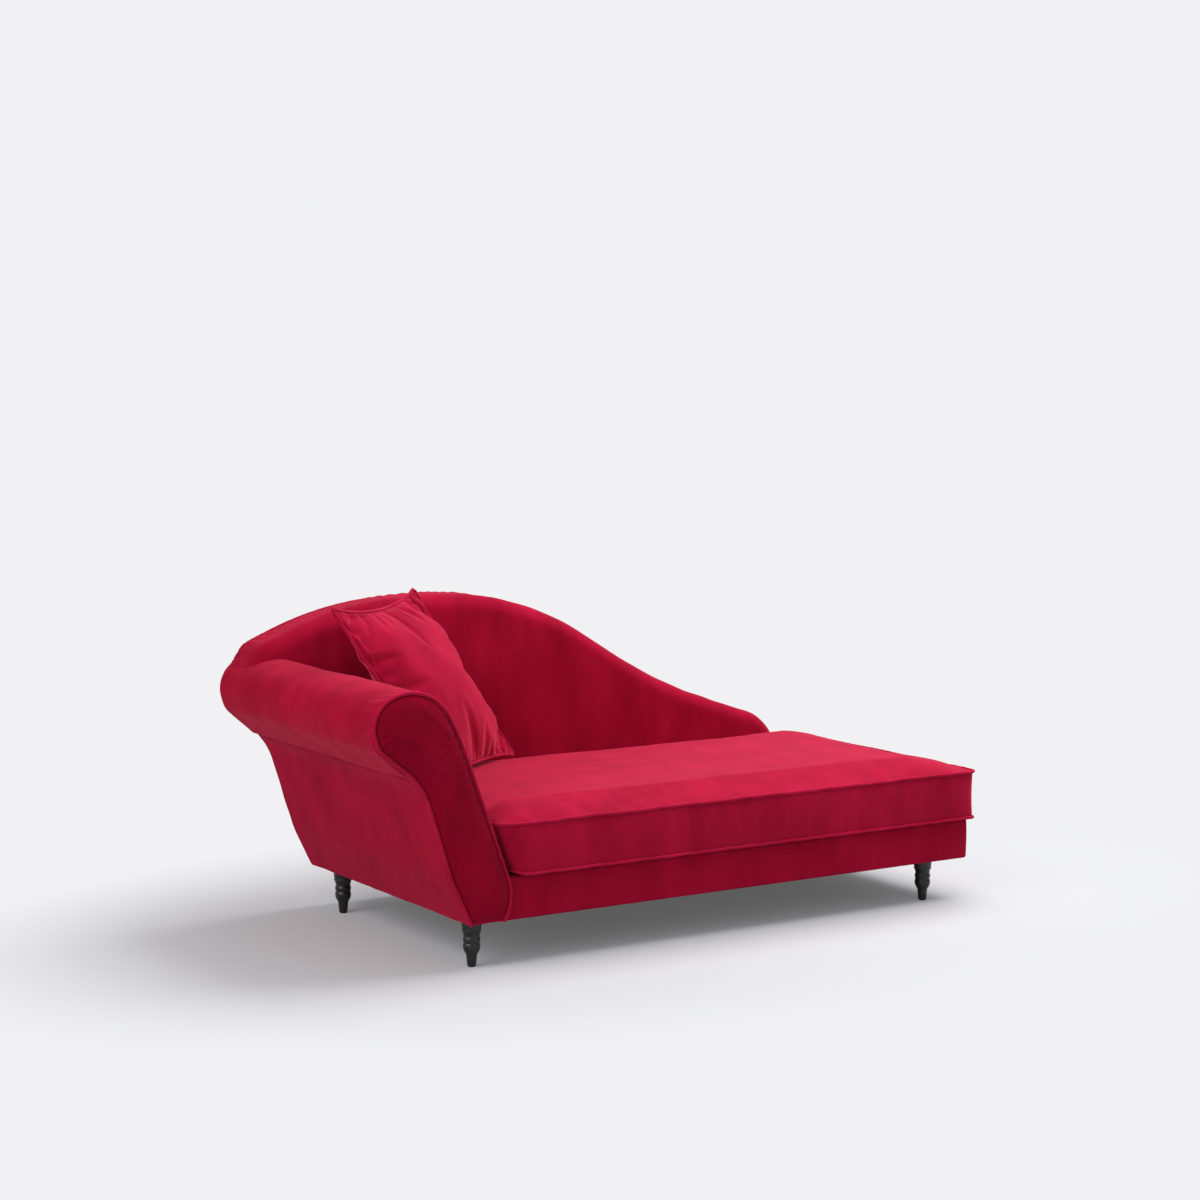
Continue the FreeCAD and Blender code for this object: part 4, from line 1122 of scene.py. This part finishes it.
# The first leg is spun from its profile, and the others are copies with their own mesh.
def buildLegs(lacquer):
    centre = spot(*leg["places"][0], 0)
    bpy.ops.mesh.primitive_circle_add(vertices=3, radius=1)
    first = bpy.context.object
    first.name = "turnedLeg1"
    onlySelect(first)
    mesh = bmesh.new()
    rim = [mesh.verts.new((centre.x + r, centre.y, z)) for r, z in leg["profile"]]
    for a, b in zip(rim[:-1], rim[1:]):
        mesh.edges.new((a, b))
    mesh.to_mesh(first.data)
    mesh.free()
    bpy.ops.object.mode_set(mode="EDIT")
    bpy.ops.mesh.select_all(action="SELECT")
    bpy.ops.mesh.spin(steps=56, angle=2 * math.pi, center=centre, axis=(0, 0, 1))
    bpy.ops.mesh.select_all(action="SELECT")
    bpy.ops.mesh.remove_doubles(threshold=0.00005)
    bpy.ops.mesh.normals_make_consistent(inside=False)
    bpy.ops.object.mode_set(mode="OBJECT")
    bpy.ops.object.shade_smooth_by_angle(angle=math.radians(50))
    legs = [first]
    for number, (x, y) in enumerate(leg["places"][1:], 2):
        obj = bpy.data.objects.new("turnedLeg%d" % number, first.data.copy())
        bpy.context.scene.collection.objects.link(obj)
        writePoints(obj, readPoints(first) + np.array(spot(x, y, 0) - centre))
        legs.append(obj)
    for obj in legs:
        finishPiece(obj, "frame", lacquer, ("legs",) if obj is first else ())


# Cloths under the cushion and below the base

cloths = {
    "deckCloth": {"node": "deck_cloth", "low": (0.125, 0.105), "high": (1.545, 0.727),
                  "height": 0.2335, "sag": 0.0005},
    "dustCloth": {"node": "dust_cloth", "low": (0.012, 0.006), "high": (1.643, 0.921),
                  "height": 0.1215, "sag": 0.0006},
}


def buildCloth(name, material):
    cloth = cloths[name]
    bpy.ops.mesh.primitive_grid_add(x_subdivisions=90, y_subdivisions=50, size=1)
    obj = bpy.context.object
    obj.name = name
    points = readPoints(obj) + 0.5
    a, b = spot(*cloth["low"], 0), spot(*cloth["high"], 0)
    bow = 16 * points[:, 0] * (1 - points[:, 0]) * points[:, 1] * (1 - points[:, 1])
    height = cloth["height"] - cloth["sag"] * bow + 0.0004 * ripple(points, 0.2, 101) * bow
    writePoints(obj, np.column_stack([
        a.x + (b.x - a.x) * points[:, 0], a.y + (b.y - a.y) * points[:, 1], height,
    ]))
    onlySelect(obj)
    bpy.ops.object.shade_smooth()
    thicken(obj, 0.001)
    finishPiece(obj, "frame", material, (cloth["node"],))


# Each solid of the frame gets the finish of its material slot.
def dressNodes(materials):
    slots = {s["node"]: s["material_slot"] for s in frame["record"]["subparts"]}
    for node, obj in frame["nodes"].items():
        obj.data.materials.clear()
        obj.data.materials.append(materials[slots[node]])


def main():
    setUpCamera()
    setUpStudio()
    print("camera and studio ready")
    velvet = velvetMaterial("crimsonVelvet")
    # the cushions take the lighter copy, whose lighter colours are painted light
    brushed = velvetMaterial("crimsonVelvetPaintedLighter")
    # the front panel of the arm takes the darker copy, whose darker colours are painted shade
    paintedDarkerVelvet = velvetMaterial("crimsonVelvetPaintedDarker")
    cord = velvetMaterial("crimsonVelvetPiping")
    lacquer = lacquerMaterial()
    timber = grainMaterial("sawnPine", "#A87C4C", "#D3AC78", (6, 90, 90), 0.75)
    ply = grainMaterial("birchPly", "#B58F62", "#DABD90", (10, 240, 30), 0.7)
    webbing = wovenMaterial("elasticWebbing", "#17171A", "#3A3A3F", 320.0, 0.85)
    deck = wovenMaterial("platformCloth", "#0F0F11", "#242428", 420.0, 0.9)
    dust = wovenMaterial("spunbondedCloth", "#0A0A0B", "#19191B", 260.0, 0.95)
    materials = {
        "velvet": velvet, "velvet_piping": cord, "foam": foamMaterial(), "timber": timber, "plywood": ply,
        "black_turned_wood": lacquer, "steel": metalMaterial(), "glide": glideMaterial(),
        "webbing": webbing, "deck_cloth": deck, "dust_cloth": dust,
    }
    dressNodes(materials)
    print("materials ready")
    buildLegs(lacquer)
    buildArm(velvet)
    buildArmPanel(paintedDarkerVelvet)
    buildArmPiping(cord)
    print("arm made")
    buildBack(velvet)
    buildOutsideBack(velvet)
    print("back made")
    buildBase(velvet)
    buildCloth("deckCloth", deck)
    buildCloth("dustCloth", dust)
    print("base made")
    buildSeatCushion(brushed, cord)
    print("seat cushion made")
    buildScatterCushion(brushed, cord)
    print("scatter cushion made")


main()
